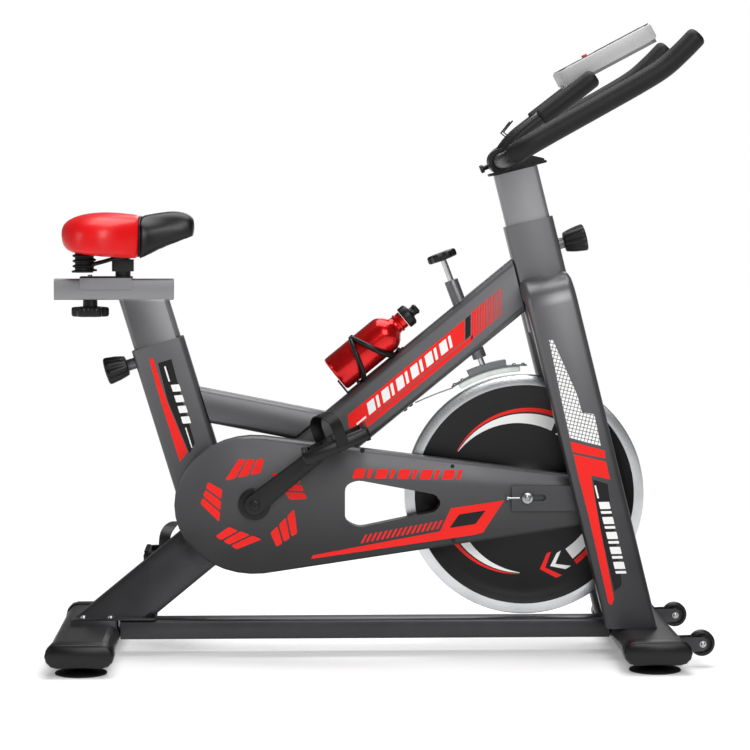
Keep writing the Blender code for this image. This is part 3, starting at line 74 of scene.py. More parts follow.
Shape = bmesh.types.BMesh
Edges = list[bmesh.types.BMEdge]
Outline = list[tuple[float, float]]
ALONG, ACROSS, UP = Vector((1, 0, 0)), Vector((0, 1, 0)), Vector((0, 0, 1))
NEAR, FAR = -1, 1
SIDES = (("right", NEAR), ("left", FAR))
FILM = 0.00022  # thickness of the printed film
GAP = 0.00005  # clearance between film and tube
BEAM_ORIGIN = Vector((0.0, 0.0, 0.4265))
BEAM_TURN = math.radians(39.35)
WHEEL_CENTRE = Vector((0.242, 0.0, 0.2665))
CRANK_CENTRE = Vector((-0.2083, 0.0, 0.257))
BRAKE_KNOB = Vector((0.1045, 0.0, 0.6631))
BRAKE_TILT = math.radians(20.6)


# ---- materials ---------------------------------------------------------------------------------
def linear(code: str) -> tuple[float, float, float, float]:
    """Turns an sRGB hex colour to linear.

    Args:
        code: Six hex digits, with or without a leading #.

    Returns:
        Red, green, blue and alpha for a shader socket.
    """
    channels = [int(code.lstrip("#")[i : i + 2], 16) / 255 for i in (0, 2, 4)]
    red, green, blue = (c / 12.92 if c <= 0.04045 else ((c + 0.055) / 1.055) ** 2.4 for c in channels)
    return red, green, blue, 1.0


def add_node(tree: bpy.types.NodeTree, kind: str, settings: dict, links: dict) -> bpy.types.Node:
    """Adds one shader node.

    Args:
        tree: The material's node tree.
        kind: The node's type name.
        settings: Values by socket name, or by property name where no socket has it.
        links: Output sockets by the name or number of the input they feed.

    Returns:
        The new node.
    """
    node = tree.nodes.new(kind)
    for name, value in settings.items():
        if name in node.inputs:
            node.inputs[name].default_value = value
        else:
            setattr(node, name, value)
    for name, output in links.items():
        tree.links.new(output, node.inputs[name])
    return node


class Grain(Enum):
    """The fine relief that a surface shows."""

    NONE = "none"
    PEEL = "orange peel"
    PEBBLE = "pebbled"


@dataclass(frozen=True)
class Finish:
    """One real finish: what it is made of and how its surface was made; on some, painted top light as well."""

    name: str
    colour: str
    shade: str
    roughness: float
    metallic: float = 0.0
    ior: float = 1.5
    grain: Grain = Grain.PEEL
    grain_mm: float = 1.2
    depth_mm: float = 0.02
    cloud_mm: float = 60.0
    spread: float = 0.06
    coat: float = 0.0
    sheen: float = 0.0
    # lift and its colour: heights over which the colour turns to a second one, lighter higher up; painted top light
    # on the frame and the guard, the real paler coat of the seat post's carriage.
    lift: tuple[float, float] = (0.0, 0.0)
    painted_light_and_band_colour: str = "#000000"
    lines_mm: float = 0.0

    def build(self) -> bpy.types.Material:
        """Makes the material.

        Returns:
            A node material on Object coordinates, so its pattern keeps its real size.
        """
        material = bpy.data.materials.new(self.name)
        material.use_nodes = True
        tree = material.node_tree
        shader = tree.nodes["Principled BSDF"]
        for socket, value in (("Metallic", self.metallic), ("Coat Weight", self.coat), ("Coat Roughness", 0.08),
                              ("Sheen Weight", self.sheen)):
            shader.inputs[socket].default_value = value
        if not self.metallic:
            shader.inputs["IOR"].default_value = self.ior
        place = add_node(tree, "ShaderNodeTexCoord", {}, {}).outputs["Object"]
        cloud = add_node(tree, "ShaderNodeTexNoise", {"Scale": 1000 / self.cloud_mm, "Detail": 3.0},
                         {"Vector": place})
        tone = add_node(tree, "ShaderNodeValToRGB", {}, {"Fac": cloud.outputs["Fac"]})
        tone.color_ramp.elements[0].position = 0.3
        tone.color_ramp.elements[1].position = 0.7
        tone.color_ramp.elements[0].color = linear(self.shade)
        tone.color_ramp.elements[1].color = linear(self.colour)
        colour = tone.outputs["Color"]
        # Lighter higher up: painted top light on the frame and the guard; on the seat post, the paler coat of its
        # carriage.
        if self.lift[1] > self.lift[0]:
            height = add_node(tree, "ShaderNodeSeparateXYZ", {}, {"Vector": place})
            rise = add_node(tree, "ShaderNodeMapRange", {
                "From Min": self.lift[0], "From Max": self.lift[1], "interpolation_type": "SMOOTHSTEP",
            }, {"Value": height.outputs["Z"]})
            mix = add_node(tree, "ShaderNodeMix", {"data_type": "RGBA"}, {})
            tree.links.new(rise.outputs["Result"], mix.inputs["Factor"])
            tree.links.new(colour, mix.inputs[6])
            mix.inputs[7].default_value = linear(self.painted_light_and_band_colour)
            colour = mix.outputs[2]
        if self.lines_mm:
            colour = self.grid(tree, place, colour)
        tree.links.new(colour, shader.inputs["Base Color"])
        wear = add_node(tree, "ShaderNodeMapRange", {
            "To Min": self.roughness - self.spread, "To Max": self.roughness + self.spread,
        }, {"Value": cloud.outputs["Fac"]})
        tree.links.new(wear.outputs["Result"], shader.inputs["Roughness"])
        self.add_grain(tree, shader, place)
        return material

    def grid(self, tree: bpy.types.NodeTree, place: bpy.types.NodeSocket,
             colour: bpy.types.NodeSocket) -> bpy.types.NodeSocket:
        """Draws thin dark lines in squares that lean with the fork leg.

        Args:
            tree: The material's node tree.
            place: The Object coordinate socket.
            colour: The colour between the lines.

        Returns:
            The lined colour.
        """
        lean = add_node(tree, "ShaderNodeMapping", {"Rotation": (0.0, -math.radians(13.5), 0.0)}, {"Vector": place})
        parts = add_node(tree, "ShaderNodeSeparateXYZ", {}, {"Vector": lean.outputs[0]})
        flat = add_node(tree, "ShaderNodeCombineXYZ", {}, {"X": parts.outputs["X"], "Y": parts.outputs["Z"]})
        size = self.lines_mm / 1000
        tiles = add_node(tree, "ShaderNodeTexBrick", {
            "Scale": 1.0, "Brick Width": size, "Row Height": size, "Mortar Size": size * 0.085,
            "Mortar Smooth": 0.0, "offset": 0.0, "Mortar": linear("#2a2a2c"),
        }, {"Vector": flat.outputs[0], "Color1": colour, "Color2": colour})
        return tiles.outputs["Color"]

    def add_grain(self, tree: bpy.types.NodeTree, shader: bpy.types.Node, place: bpy.types.NodeSocket) -> None:
        """Adds the bump of the finish's grain.

        Args:
            tree: The material's node tree.
            shader: The Principled node that takes the bump.
            place: The Object coordinate socket.
        """
        if self.grain is Grain.NONE:
            return
        scale = 1000 / self.grain_mm
        if self.grain is Grain.PEBBLE:
            relief = add_node(tree, "ShaderNodeTexVoronoi", {"Scale": scale, "feature": "SMOOTH_F1"},
                              {"Vector": place}).outputs["Distance"]
        else:
            relief = add_node(tree, "ShaderNodeTexNoise", {"Scale": scale, "Detail": 2.0},
                              {"Vector": place}).outputs["Fac"]
        bump = add_node(tree, "ShaderNodeBump", {"Strength": 0.5, "Distance": self.depth_mm / 1000},
                        {"Height": relief})
        tree.links.new(bump.outputs["Normal"], shader.inputs["Normal"])


# Metallic powder coat on steel: a broad soft sheen on the flats with a fine orange peel, and painted shade: darker
# low on the frame, lighter higher up where the top light falls.
CHARCOAL = Finish("charcoal_powder_coat", "#454547", "#404042", 0.38, metallic=0.75, lift=(0.1, 0.72),
                  painted_light_and_band_colour="#727274")
# The sliding posts have a paler coat with the same peel; the seat post turns paler at its carriage.
PALE_COAT = Finish("pale_grey_powder_coat", "#929294", "#8a8a8c", 0.42, metallic=0.62)
SEAT_POST_COAT = Finish("two_tone_powder_coat", "#6a6a6c", "#646466", 0.4, metallic=0.55, lift=(0.588, 0.596),
                        painted_light_and_band_colour="#8c8c8e")
# Baked enamel on cranks, bars and clamps: nearly black with a low soft gloss.
BLACK_COAT = Finish("black_enamel_steel", "#090909", "#060607", 0.44, ior=1.42, grain_mm=0.9)
# Moulded ABS cover: satin with a fine spark texture, and painted top light: lighter towards its top.
GUARD_ABS = Finish("charcoal_moulded_abs_with_painted_top_light", "#242426", "#1f1f21", 0.42, metallic=0.3, grain_mm=0.6,
                   depth_mm=0.03, lift=(0.14, 0.37), painted_light_and_band_colour="#565658")
# Glass-filled nylon knobs, caps and pedals: satin, faintly pebbled by the mould.
BLACK_NYLON = Finish("black_moulded_nylon", "#09090a", "#060607", 0.38, ior=1.4, grain=Grain.PEBBLE,
                     grain_mm=0.7, depth_mm=0.04)
# Moulded rubber: matt, with no highlight edge.
BLACK_RUBBER = Finish("black_moulded_rubber", "#090909", "#060606", 0.6, ior=1.4, grain_mm=0.8, depth_mm=0.05)
# Closed-cell foam: matt and finely pitted, drawn coarser than life so that it shows.
GRIP_FOAM = Finish("black_closed_cell_foam", "#0a0a0b", "#070708", 0.55, ior=1.38, grain=Grain.PEBBLE,
                   grain_mm=0.9, depth_mm=0.14)
# Turned rim and rod: mirror-like metal, slightly spread by the lathe.
CHROME = Finish("turned_chromed_steel", "#d2d4d6", "#bfc1c3", 0.24, metallic=1.0, grain=Grain.NONE, spread=0.03)
# Gloss paint over cast iron: a smooth web that shows a soft sheen.
DISC_PAINT = Finish("black_gloss_paint_on_iron", "#080809", "#050506", 0.34, ior=1.38, cloud_mm=90)
# Zinc plate on bolts: bright and a little cloudy.
ZINC = Finish("zinc_plated_steel", "#b9bbbd", "#9fa1a3", 0.26, metallic=1.0, grain_mm=0.7, depth_mm=0.01)
BRAKE_GREY = Finish("grey_painted_steel", "#77787a", "#6b6c6e", 0.42, metallic=0.4)
# Coated saddle cloth: glossy red at the back, satin black on the nose, both with a leather-like pebble.
RED_VINYL = Finish("red_glossy_vinyl", "#e2050b", "#d20409", 0.38, grain=Grain.PEBBLE, grain_mm=0.9,
                   depth_mm=0.05, ior=1.42, coat=0.1, cloud_mm=40)
BLACK_VINYL = Finish("black_satin_vinyl", "#070707", "#040404", 0.36, ior=1.42, grain=Grain.PEBBLE,
                     grain_mm=0.9, depth_mm=0.07, cloud_mm=40)
# Pressed wool: off-white, matt, with coarse lumps.
WOOL_FELT = Finish("pressed_wool_felt", "#e4ece7", "#d3ddd6", 0.9, grain=Grain.PEBBLE, grain_mm=1.4,
                   depth_mm=0.25, sheen=0.3, cloud_mm=9)
# The console's ABS shell, its darker band and its black top line share one fine spark texture.
CONSOLE_ABS = Finish("light_grey_moulded_abs", "#b9b9ba", "#b1b1b2", 0.42, grain=Grain.PEBBLE, grain_mm=0.6,
                     depth_mm=0.03)
CONSOLE_BAND = Finish("mid_grey_moulded_abs", "#6c6c6e", "#626264", 0.45, grain=Grain.PEBBLE, grain_mm=0.6,
                      depth_mm=0.03)
CONSOLE_EDGE = Finish("black_moulded_abs", "#151516", "#101011", 0.35, grain=Grain.PEBBLE, grain_mm=0.6,
                      depth_mm=0.02)
SCREEN = Finish("dark_screen_window", "#15201e", "#111a18", 0.38, ior=1.38, grain=Grain.NONE, spread=0.02)
# Printed vinyl film: flat colour with a smooth satin face.
RED_PRINT = Finish("red_vinyl_film", "#f2170c", "#ea140a", 0.42, ior=1.38, grain=Grain.NONE)
WHITE_PRINT = Finish("white_vinyl_film", "#f6f6f5", "#f0f0ef", 0.4, grain=Grain.NONE)
DARK_PRINT = Finish("black_vinyl_film", "#0a0a0b", "#080809", 0.4, ior=1.38, grain=Grain.NONE)
GRID_PRINT = Finish("white_film_with_a_printed_grid", "#f6f6f5", "#efefee", 0.4, grain=Grain.NONE, lines_mm=5.8)
# Tinted lacquer over bare aluminium: the metal's highlights come through red.
RED_LACQUER = Finish("red_lacquered_aluminium", "#e0060b", "#c40509", 0.26, metallic=0.8, coat=0.4,
                      grain=Grain.NONE, cloud_mm=30)
RED_ABS = Finish("red_moulded_abs", "#d8201c", "#c41a17", 0.3)


class Palette:
    """Makes each finish's material once."""

    def __init__(self) -> None:
        """Starts with no material made."""
        self.made: dict[str, bpy.types.Material] = {}

    def of(self, finish: Finish) -> bpy.types.Material:
        """Returns the material of a finish.

        Args:
            finish: The finish to look up or make.

        Returns:
            Its material.
        """
        if finish.name not in self.made:
            self.made[finish.name] = finish.build()
        return self.made[finish.name]


PALETTE = Palette()


# ---- shaping -----------------------------------------------------------------------------------
def frame_at(origin: Vector, axis: Vector, side: Vector) -> Matrix:
    """Makes a frame to build a shape in.

    Args:
        origin: Its origin.
        axis: Direction of its local Z.
        side: Direction that its local X is nearest to.

    Returns:
        The frame's matrix.
    """
    z = Vector(axis).normalized()
    x = (Vector(side) - z * Vector(side).dot(z)).normalized()
    matrix = Matrix((x, z.cross(x), z)).transposed().to_4x4()
    matrix.translation = Vector(origin)
    return matrix


def along(angle: float) -> Vector:
    """Returns the X axis after a turn up from level."""
    return Vector((math.cos(angle), 0, math.sin(angle)))


def upright(angle: float) -> Vector:
    """Returns the Z axis after the same turn."""
    return Vector((-math.sin(angle), 0, math.cos(angle)))


def publish(name: str, bm: Shape, finish: Finish, body: str, smooth: float = 38.0,
            replaces: tuple[str, ...] = (), bevel_mm: float = 0.0) -> None:
    """Turns a finished bmesh into a piece that rides on a body.

    Args:
        name: The piece's name.
        bm: Its shape in the frame's coordinates; it is freed.
        finish: Its finish.
        body: The body it moves with.
        smooth: Edges flatter than this angle, in degrees, are shaded smooth.
        replaces: CAD nodes it stands for.
        bevel_mm: Width of a bevel on its sharp edges, or 0.
    """
    mesh = bpy.data.meshes.new(name)
    bm.to_mesh(mesh)
    bm.free()
    mesh.shade_smooth()
    mesh.set_sharp_from_angle(angle=math.radians(smooth))
    mesh.materials.append(PALETTE.of(finish))
    piece = bpy.data.objects.new(name, mesh)
    bpy.context.scene.collection.objects.link(piece)
    if bevel_mm:
        edge = piece.modifiers.new("soft_edges", "BEVEL")
        edge.width, edge.segments = bevel_mm / 1000, 2
        edge.limit_method, edge.angle_limit = "ANGLE", math.radians(smooth)
    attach(piece, body)
    if replaces:
        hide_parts(*replaces)
    LOG.info("%s rides on %s", name, body)


def merged_copy(node: bpy.types.Object) -> Shape:
    """Copies a CAD node, with its loose triangles joined and its flats made whole.

    Args:
        node: The CAD node.

    Returns:
        The copy.
    """
    bm = bmesh.new()
    bm.from_mesh(node.data)
    bmesh.ops.remove_doubles(bm, verts=bm.verts, dist=0.00002)
    bmesh.ops.dissolve_limit(bm, angle_limit=math.radians(0.6), verts=bm.verts, edges=bm.edges)
    return bm


def turned(matrix: Matrix, profile: Outline, sides: int) -> Shape:
    """Spins a profile about a frame's local Z.

    Args:
        matrix: The frame.
        profile: Radius and height pairs in metres.
        sides: Steps round the axis.

    Returns:
        The closed shape.
    """
    bm = bmesh.new()
    verts = [bm.verts.new((radius, 0, z)) for radius, z in profile]
    edges = [bm.edges.new(pair) for pair in zip(verts, verts[1:])]
    if profile[0][0] > 0.0002 and profile[-1][0] > 0.0002:
        edges.append(bm.edges.new((verts[-1], verts[0])))
    bmesh.ops.spin(bm, geom=verts + edges, cent=(0, 0, 0), axis=(0, 0, 1), angle=math.tau, steps=sides,
                   use_merge=True)
    bmesh.ops.remove_doubles(bm, verts=bm.verts, dist=0.00001)
    bmesh.ops.recalc_face_normals(bm, faces=bm.faces)
    bm.transform(matrix)
    return bm


def bevel(bm: Shape, geom: list, width: float, segments: int, affect: str = "EDGES") -> None:
    """Rounds the given edges, or the given corners of a flat face."""
    bmesh.ops.bevel(bm, geom=geom, offset=width, offset_type="OFFSET", segments=segments, profile=0.5,
                    affect=affect, material=-1, clamp_overlap=affect == "VERTICES")


def join(bm: Shape, part: Shape) -> None:
    """Adds one bmesh to another and frees it.

    Args:
        bm: The bmesh it is added to.
        part: The bmesh that is added.
    """
    mesh = bpy.data.meshes.new("part")
    part.to_mesh(mesh)
    part.free()
    bm.from_mesh(mesh)
    bpy.data.meshes.remove(mesh)


def slab(bm: Shape, points: Outline, y: float, thick: float, radius: float = 0.0) -> None:
    """Adds a thin plate with an X and Z outline, from y to y + thick.

    Args:
        bm: The bmesh it is added to.
        points: Corners of the outline.
        y: Where its back lies.
        thick: Signed thickness along Y.
        radius: Radius of its corners, or 0.
    """
    part = bmesh.new()
    part.faces.new([part.verts.new((x, y, z)) for x, z in points])
    if radius:
        bevel(part, part.verts[:], radius, 3, "VERTICES")
    grown = bmesh.ops.extrude_face_region(part, geom=part.faces[:])
    moved = [item for item in grown["geom"] if isinstance(item, bmesh.types.BMVert)]
    bmesh.ops.translate(part, verts=moved, vec=(0, thick, 0))
    bmesh.ops.recalc_face_normals(part, faces=part.faces)
    join(bm, part)


def ring(bm: Shape, sides: int, matrix: Matrix) -> tuple[Edges, list[bmesh.types.BMVert]]:
    """Adds a capped circle of radius 1 that an extrusion starts from.

    Args:
        bm: The bmesh it is added to.
        sides: Its number of sides.
        matrix: Its frame.

    Returns:
        Its edges and vertices.
    """
    verts = bmesh.ops.create_circle(bm, segments=sides, radius=1.0, cap_ends=True, matrix=matrix)["verts"]
    return list({edge for vert in verts for edge in vert.link_edges}), verts


def grow(bm: Shape, edges: Edges) -> tuple[Edges, list[bmesh.types.BMVert]]:
    """Extrudes an open rim.

    Args:
        bm: The bmesh that it belongs to.
        edges: The rim's edges.

    Returns:
        The new rim's edges and vertices.
    """
    grown = bmesh.ops.extrude_edge_only(bm, edges=edges)["geom"]
    return ([item for item in grown if isinstance(item, bmesh.types.BMEdge)],
            [item for item in grown if isinstance(item, bmesh.types.BMVert)])


def tube(points: list[Vector], radii: list[float], sides: int = 24) -> Shape:
    """Makes a round bar along points, by extruding a circle from one to the next.

    Args:
        points: Centre line.
        radii: Radius at each point.
        sides: Sides of the circle.

    Returns:
        The closed bar.
    """
    bm = bmesh.new()
    side = ACROSS if abs((points[1] - points[0]).normalized().y) < 0.7 else UP
    edges: Edges = []
    previous = Matrix.Identity(4)
    for i, (point, radius) in enumerate(zip(points, radii)):
        ahead = points[min(i + 1, len(points) - 1)] - points[max(i - 1, 0)]
        here = frame_at(point, ahead, side)
        side = here.to_3x3() @ ALONG
        here = here @ Matrix.Diagonal((radius, radius, radius, 1))
        if i == 0:
            edges, _ = ring(bm, sides, here)
        else:
            edges, verts = grow(bm, edges)
            bmesh.ops.transform(bm, matrix=here @ previous.inverted(), verts=verts)
        previous = here
    bmesh.ops.contextual_create(bm, geom=edges)
    bmesh.ops.recalc_face_normals(bm, faces=bm.faces)
    return bm


def smooth_path(points: list[tuple[float, float, float]], per_span: int = 6) -> list[Vector]:
    """Draws a Catmull-Rom curve.

    Args:
        points: The points it passes through.
        per_span: Its steps between two points.

    Returns:
        The curve's points.
    """
    stops = [Vector(p) for p in points]
    padded = [2 * stops[0] - stops[1], *stops, 2 * stops[-1] - stops[-2]]
    curve: list[Vector] = []
    for a, b, c, d in zip(padded, padded[1:], padded[2:], padded[3:]):
        for step in range(per_span):
            t = step / per_span
            curve.append(0.5 * ((2 * b) + (c - a) * t + (2 * a - 5 * b + 4 * c - d) * t * t
                                + (3 * b - a - 3 * c + d) * t ** 3))
    return curve + [stops[-1]]


def fluted(matrix: Matrix, layers: list[tuple[float, float, float]], lobes: int) -> Shape:
    """Makes a hand knob by extruding a scalloped ring through layers.

    Args:
        matrix: The knob's frame, with local Z along its axis.
        layers: Height, outer radius and flute depth of each ring.
        lobes: Number of flutes.

    Returns:
        The closed knob.
    """
    bm = bmesh.new()
    sides = lobes * 10
    edges: Edges = []
    for i, (height, radius, depth) in enumerate(layers):
        edges, verts = grow(bm, edges) if i else ring(bm, sides, Matrix.Identity(4))
        for vert in verts:
            angle = math.atan2(vert.co.y, vert.co.x)
            reach = radius - depth * (0.5 - 0.5 * math.cos(lobes * angle)) ** 1.6
            vert.co = Vector((reach * math.cos(angle), reach * math.sin(angle), height))
    bmesh.ops.contextual_create(bm, geom=edges)
    bmesh.ops.recalc_face_normals(bm, faces=bm.faces)
    bm.transform(matrix)
    return bm


def hex_head(bm: Shape, matrix: Matrix, across: float, height: float, stud: float = 0.0) -> None:
    """Adds a chamfered hexagonal nut.

    Args:
        bm: The bmesh it is added to.
        matrix: Its frame, local Z pointing out.
        across: Size across its flats.
        height: Its height.
        stud: Length of the stud end through it, or 0.
    """
    part = bmesh.new()
    made = bmesh.ops.create_cone(part, cap_ends=True, segments=6, radius1=across * 0.577, radius2=across * 0.577,
                                 depth=height)
    bmesh.ops.translate(part, verts=made["verts"], vec=(0, 0, height / 2))
    rim = [edge for edge in part.edges if all(vert.co.z > height * 0.9 for vert in edge.verts)]
    bevel(part, rim, height * 0.14, 2)
    part.transform(matrix)
    join(bm, part)
    if stud:
        radius = across * 0.29
        join(bm, turned(matrix, [(0, 0), (radius, 0), (radius, height + stud - radius * 0.3),
                                 (radius * 0.7, height + stud), (0, height + stud)], 20))


def dome_head(bm: Shape, matrix: Matrix, radius: float, height: float) -> None:
    """Adds a washer and a domed screw head with a socket.

    Args:
        bm: The bmesh it is added to.
        matrix: Its frame, local Z pointing out.
        radius: The head's radius.
        height: The head's height.
    """
    profile = [(0, height * 0.45), (radius * 0.36, height * 0.45), (radius * 0.38, height),
               (radius * 0.7, height * 0.92), (radius * 0.93, height * 0.6), (radius, height * 0.15),
               (radius * 1.35, height * 0.15), (radius * 1.35, 0), (0, 0)]
    join(bm, turned(matrix, profile, 24))


def along_beam(u: float, w: float) -> tuple[float, float]:
    """Finds a point of the main beam.

    Args:
        u: Distance along it.
        w: Height above its middle.

    Returns:
        The point's X and Z.
    """
    c, s = math.cos(BEAM_TURN), math.sin(BEAM_TURN)
    return BEAM_ORIGIN.x + u * c - w * s, BEAM_ORIGIN.z + u * s + w * c


# ---- sub-assemblies ----------------------------------------------------------------------------
@dataclass
class CarriedOver:
    """CAD parts whose shape is right: each gets a copy, most with rounded edges, and its real finish; the frame's
    and the guard's finishes carry painted top light.
    """

    def build(self, nodes: dict[str, bpy.types.Object], record: dict) -> None:
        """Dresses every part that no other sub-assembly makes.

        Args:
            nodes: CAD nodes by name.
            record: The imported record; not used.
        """
        plan: tuple[tuple[Finish, float, str], ...] = (
            (CHARCOAL, 0.8, "rear_stabiliser"), (CHARCOAL, 0.5, "front_stabiliser"), (CHARCOAL, 0.8, "base_bar"),
            (CHARCOAL, 0.4, "main_beam"), (CHARCOAL, 0.5, "seat_tube rear_brace head_tube"),
            (CHARCOAL, 0.4, "fork_leg_right fork_leg_left"), (GUARD_ABS, 0.5, "guard_outer"),
            (GUARD_ABS, 0.3, "guard_inner"), (ZINC, 0.3, "flywheel_axle"), (BLACK_RUBBER, 0.0, "belt"),
            (BLACK_NYLON, 1.0, "rear_cap_right rear_cap_left front_cap_right front_cap_left"),
            (ZINC, 0.3, "driven_pulley"), (BLACK_NYLON, 0.5, "crank_spindle"),
            (BLACK_COAT, 0.8, "crank_arm_right crank_arm_left"), (BLACK_NYLON, 0.8, "pedal_right pedal_left"),
            (SEAT_POST_COAT, 0.5, "seat_post"), (SEAT_POST_COAT, 0.3, "saddle_slider"),
            (BLACK_COAT, 0.6, "saddle_stem"), (PALE_COAT, 0.5, "handlebar_post"), (BLACK_COAT, 0.8, "stem_clamp"),
            (CONSOLE_ABS, 1.2, "console"), (BLACK_COAT, 0.4, "console_bracket"), (BLACK_NYLON, 0.5, "clamp_knob"),
            (RED_ABS, 0.5, "console_button"))
        for finish, edge_mm, names in plan:
            for name in names.split():
                node = nodes[name]
                publish(f"{name}_body", merged_copy(node), finish, node["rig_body"], smooth=50.0,
                        replaces=(name,), bevel_mm=edge_mm)


@dataclass
class Flywheel:
    """The turned iron wheel: black painted web, polished rim, printed arcs on both faces."""

    radius: float = 0.2
    rim: float = 0.0175
    rim_half: float = 0.014
    web_half: float = 0.0045
    arc: float = 80.0
    body: str = "flywheel_group"

    def build(self) -> None:
        """Makes the rim, the web and the print."""
        matrix = frame_at(WHEEL_CENTRE, -ACROSS, ALONG)
        inner, outer, half, web = self.radius - self.rim, self.radius, self.rim_half, self.web_half
        half_rim = [(inner, half - 0.001), (inner + 0.001, half), (outer - 0.0022, half),
                    (outer - 0.0007, half - 0.0006), (outer, half - 0.0022)]
        rim = [(r, -z) for r, z in half_rim] + half_rim[::-1]
        publish("flywheel_rim", turned(matrix, rim, 200), CHROME, self.body,
                replaces=("flywheel",))
        face = [(0.0056, 0.02), (0.02, 0.02), (0.0215, 0.0185), (0.029, 0.012), (0.036, 0.009),
                (0.07, web + 0.0035), (0.158, web + 0.0035), (0.168, web + 0.006), (0.1745, half - 0.0025),
                (inner - 0.00005, half - 0.0008)]
        profile = [(r, -z) for r, z in face] + [(r, z) for r, z in reversed(face)]
        publish("flywheel_web", turned(matrix, profile, 160), DISC_PAINT, self.body)
        for word, side in SIDES:
            self.print_arcs(word, side)

    def spot(self, angle: float, radius: float, side: int) -> tuple[float, float]:
        """Finds a point of the web, mirrored on the far face.

        Args:
            angle: Its angle in degrees.
            radius: Its distance from the axle.
            side: The face it lies on.

        Returns:
            The point's X and Z.
        """
        turn = math.radians(angle)
        return WHEEL_CENTRE.x - side * radius * math.cos(turn), WHEEL_CENTRE.z + radius * math.sin(turn)

    def crescent(self, start: float, outer: tuple[float, float], inner: tuple[float, float],
                 side: int) -> Outline:
        """Outlines an arc that tapers to a point.

        Args:
            start: Angle of its thick end in degrees.
            outer: Outer radius at the thick end and at the point.
            inner: Inner radius at the thick end and at the point.
            side: The face it lies on.

        Returns:
            Its X and Z corners.
        """
        rows: list[Outline] = [[], []]
        for i in range(29):
            t = i / 28
            for row, radii in zip(rows, (outer, inner)):
                row.append(self.spot(start + self.arc * t, radii[0] + (radii[1] - radii[0]) * t ** 1.25, side))
        return rows[0] + list(reversed(rows[1]))

    def print_arcs(self, word: str, side: int) -> None:
        """Prints three red and white crescents with chevrons on one face.

        Args:
            word: The face's name.
            side: The face.
        """
        face = side * (self.web_half + 0.0035)
        red, white = bmesh.new(), bmesh.new()
        for turn in (67, 187, 307):
            slab(red, self.crescent(turn, (0.1475, 0.1345), (0.1395, 0.1335), side), face, side * FILM)
            slab(white, self.crescent(turn, (0.136, 0.1325), (0.1155, 0.1318), side), face, side * FILM)
            for ink, first, reach in ((red, turn - 25, 0.022), (white, turn - 17, 0.0155)):
                middle, wide = 0.129, 4.2
                corners = ((first, middle), (first + 9, middle + reach), (first + 9 + wide, middle + reach),
                           (first + wide, middle), (first + 9 + wide, middle - reach), (first + 9, middle - reach))
                slab(ink, [self.spot(angle, radius, side) for angle, radius in corners], face, side * FILM)
        publish(f"flywheel_red_print_{word}", red, RED_PRINT, self.body)
        publish(f"flywheel_white_print_{word}", white, WHITE_PRINT, self.body)


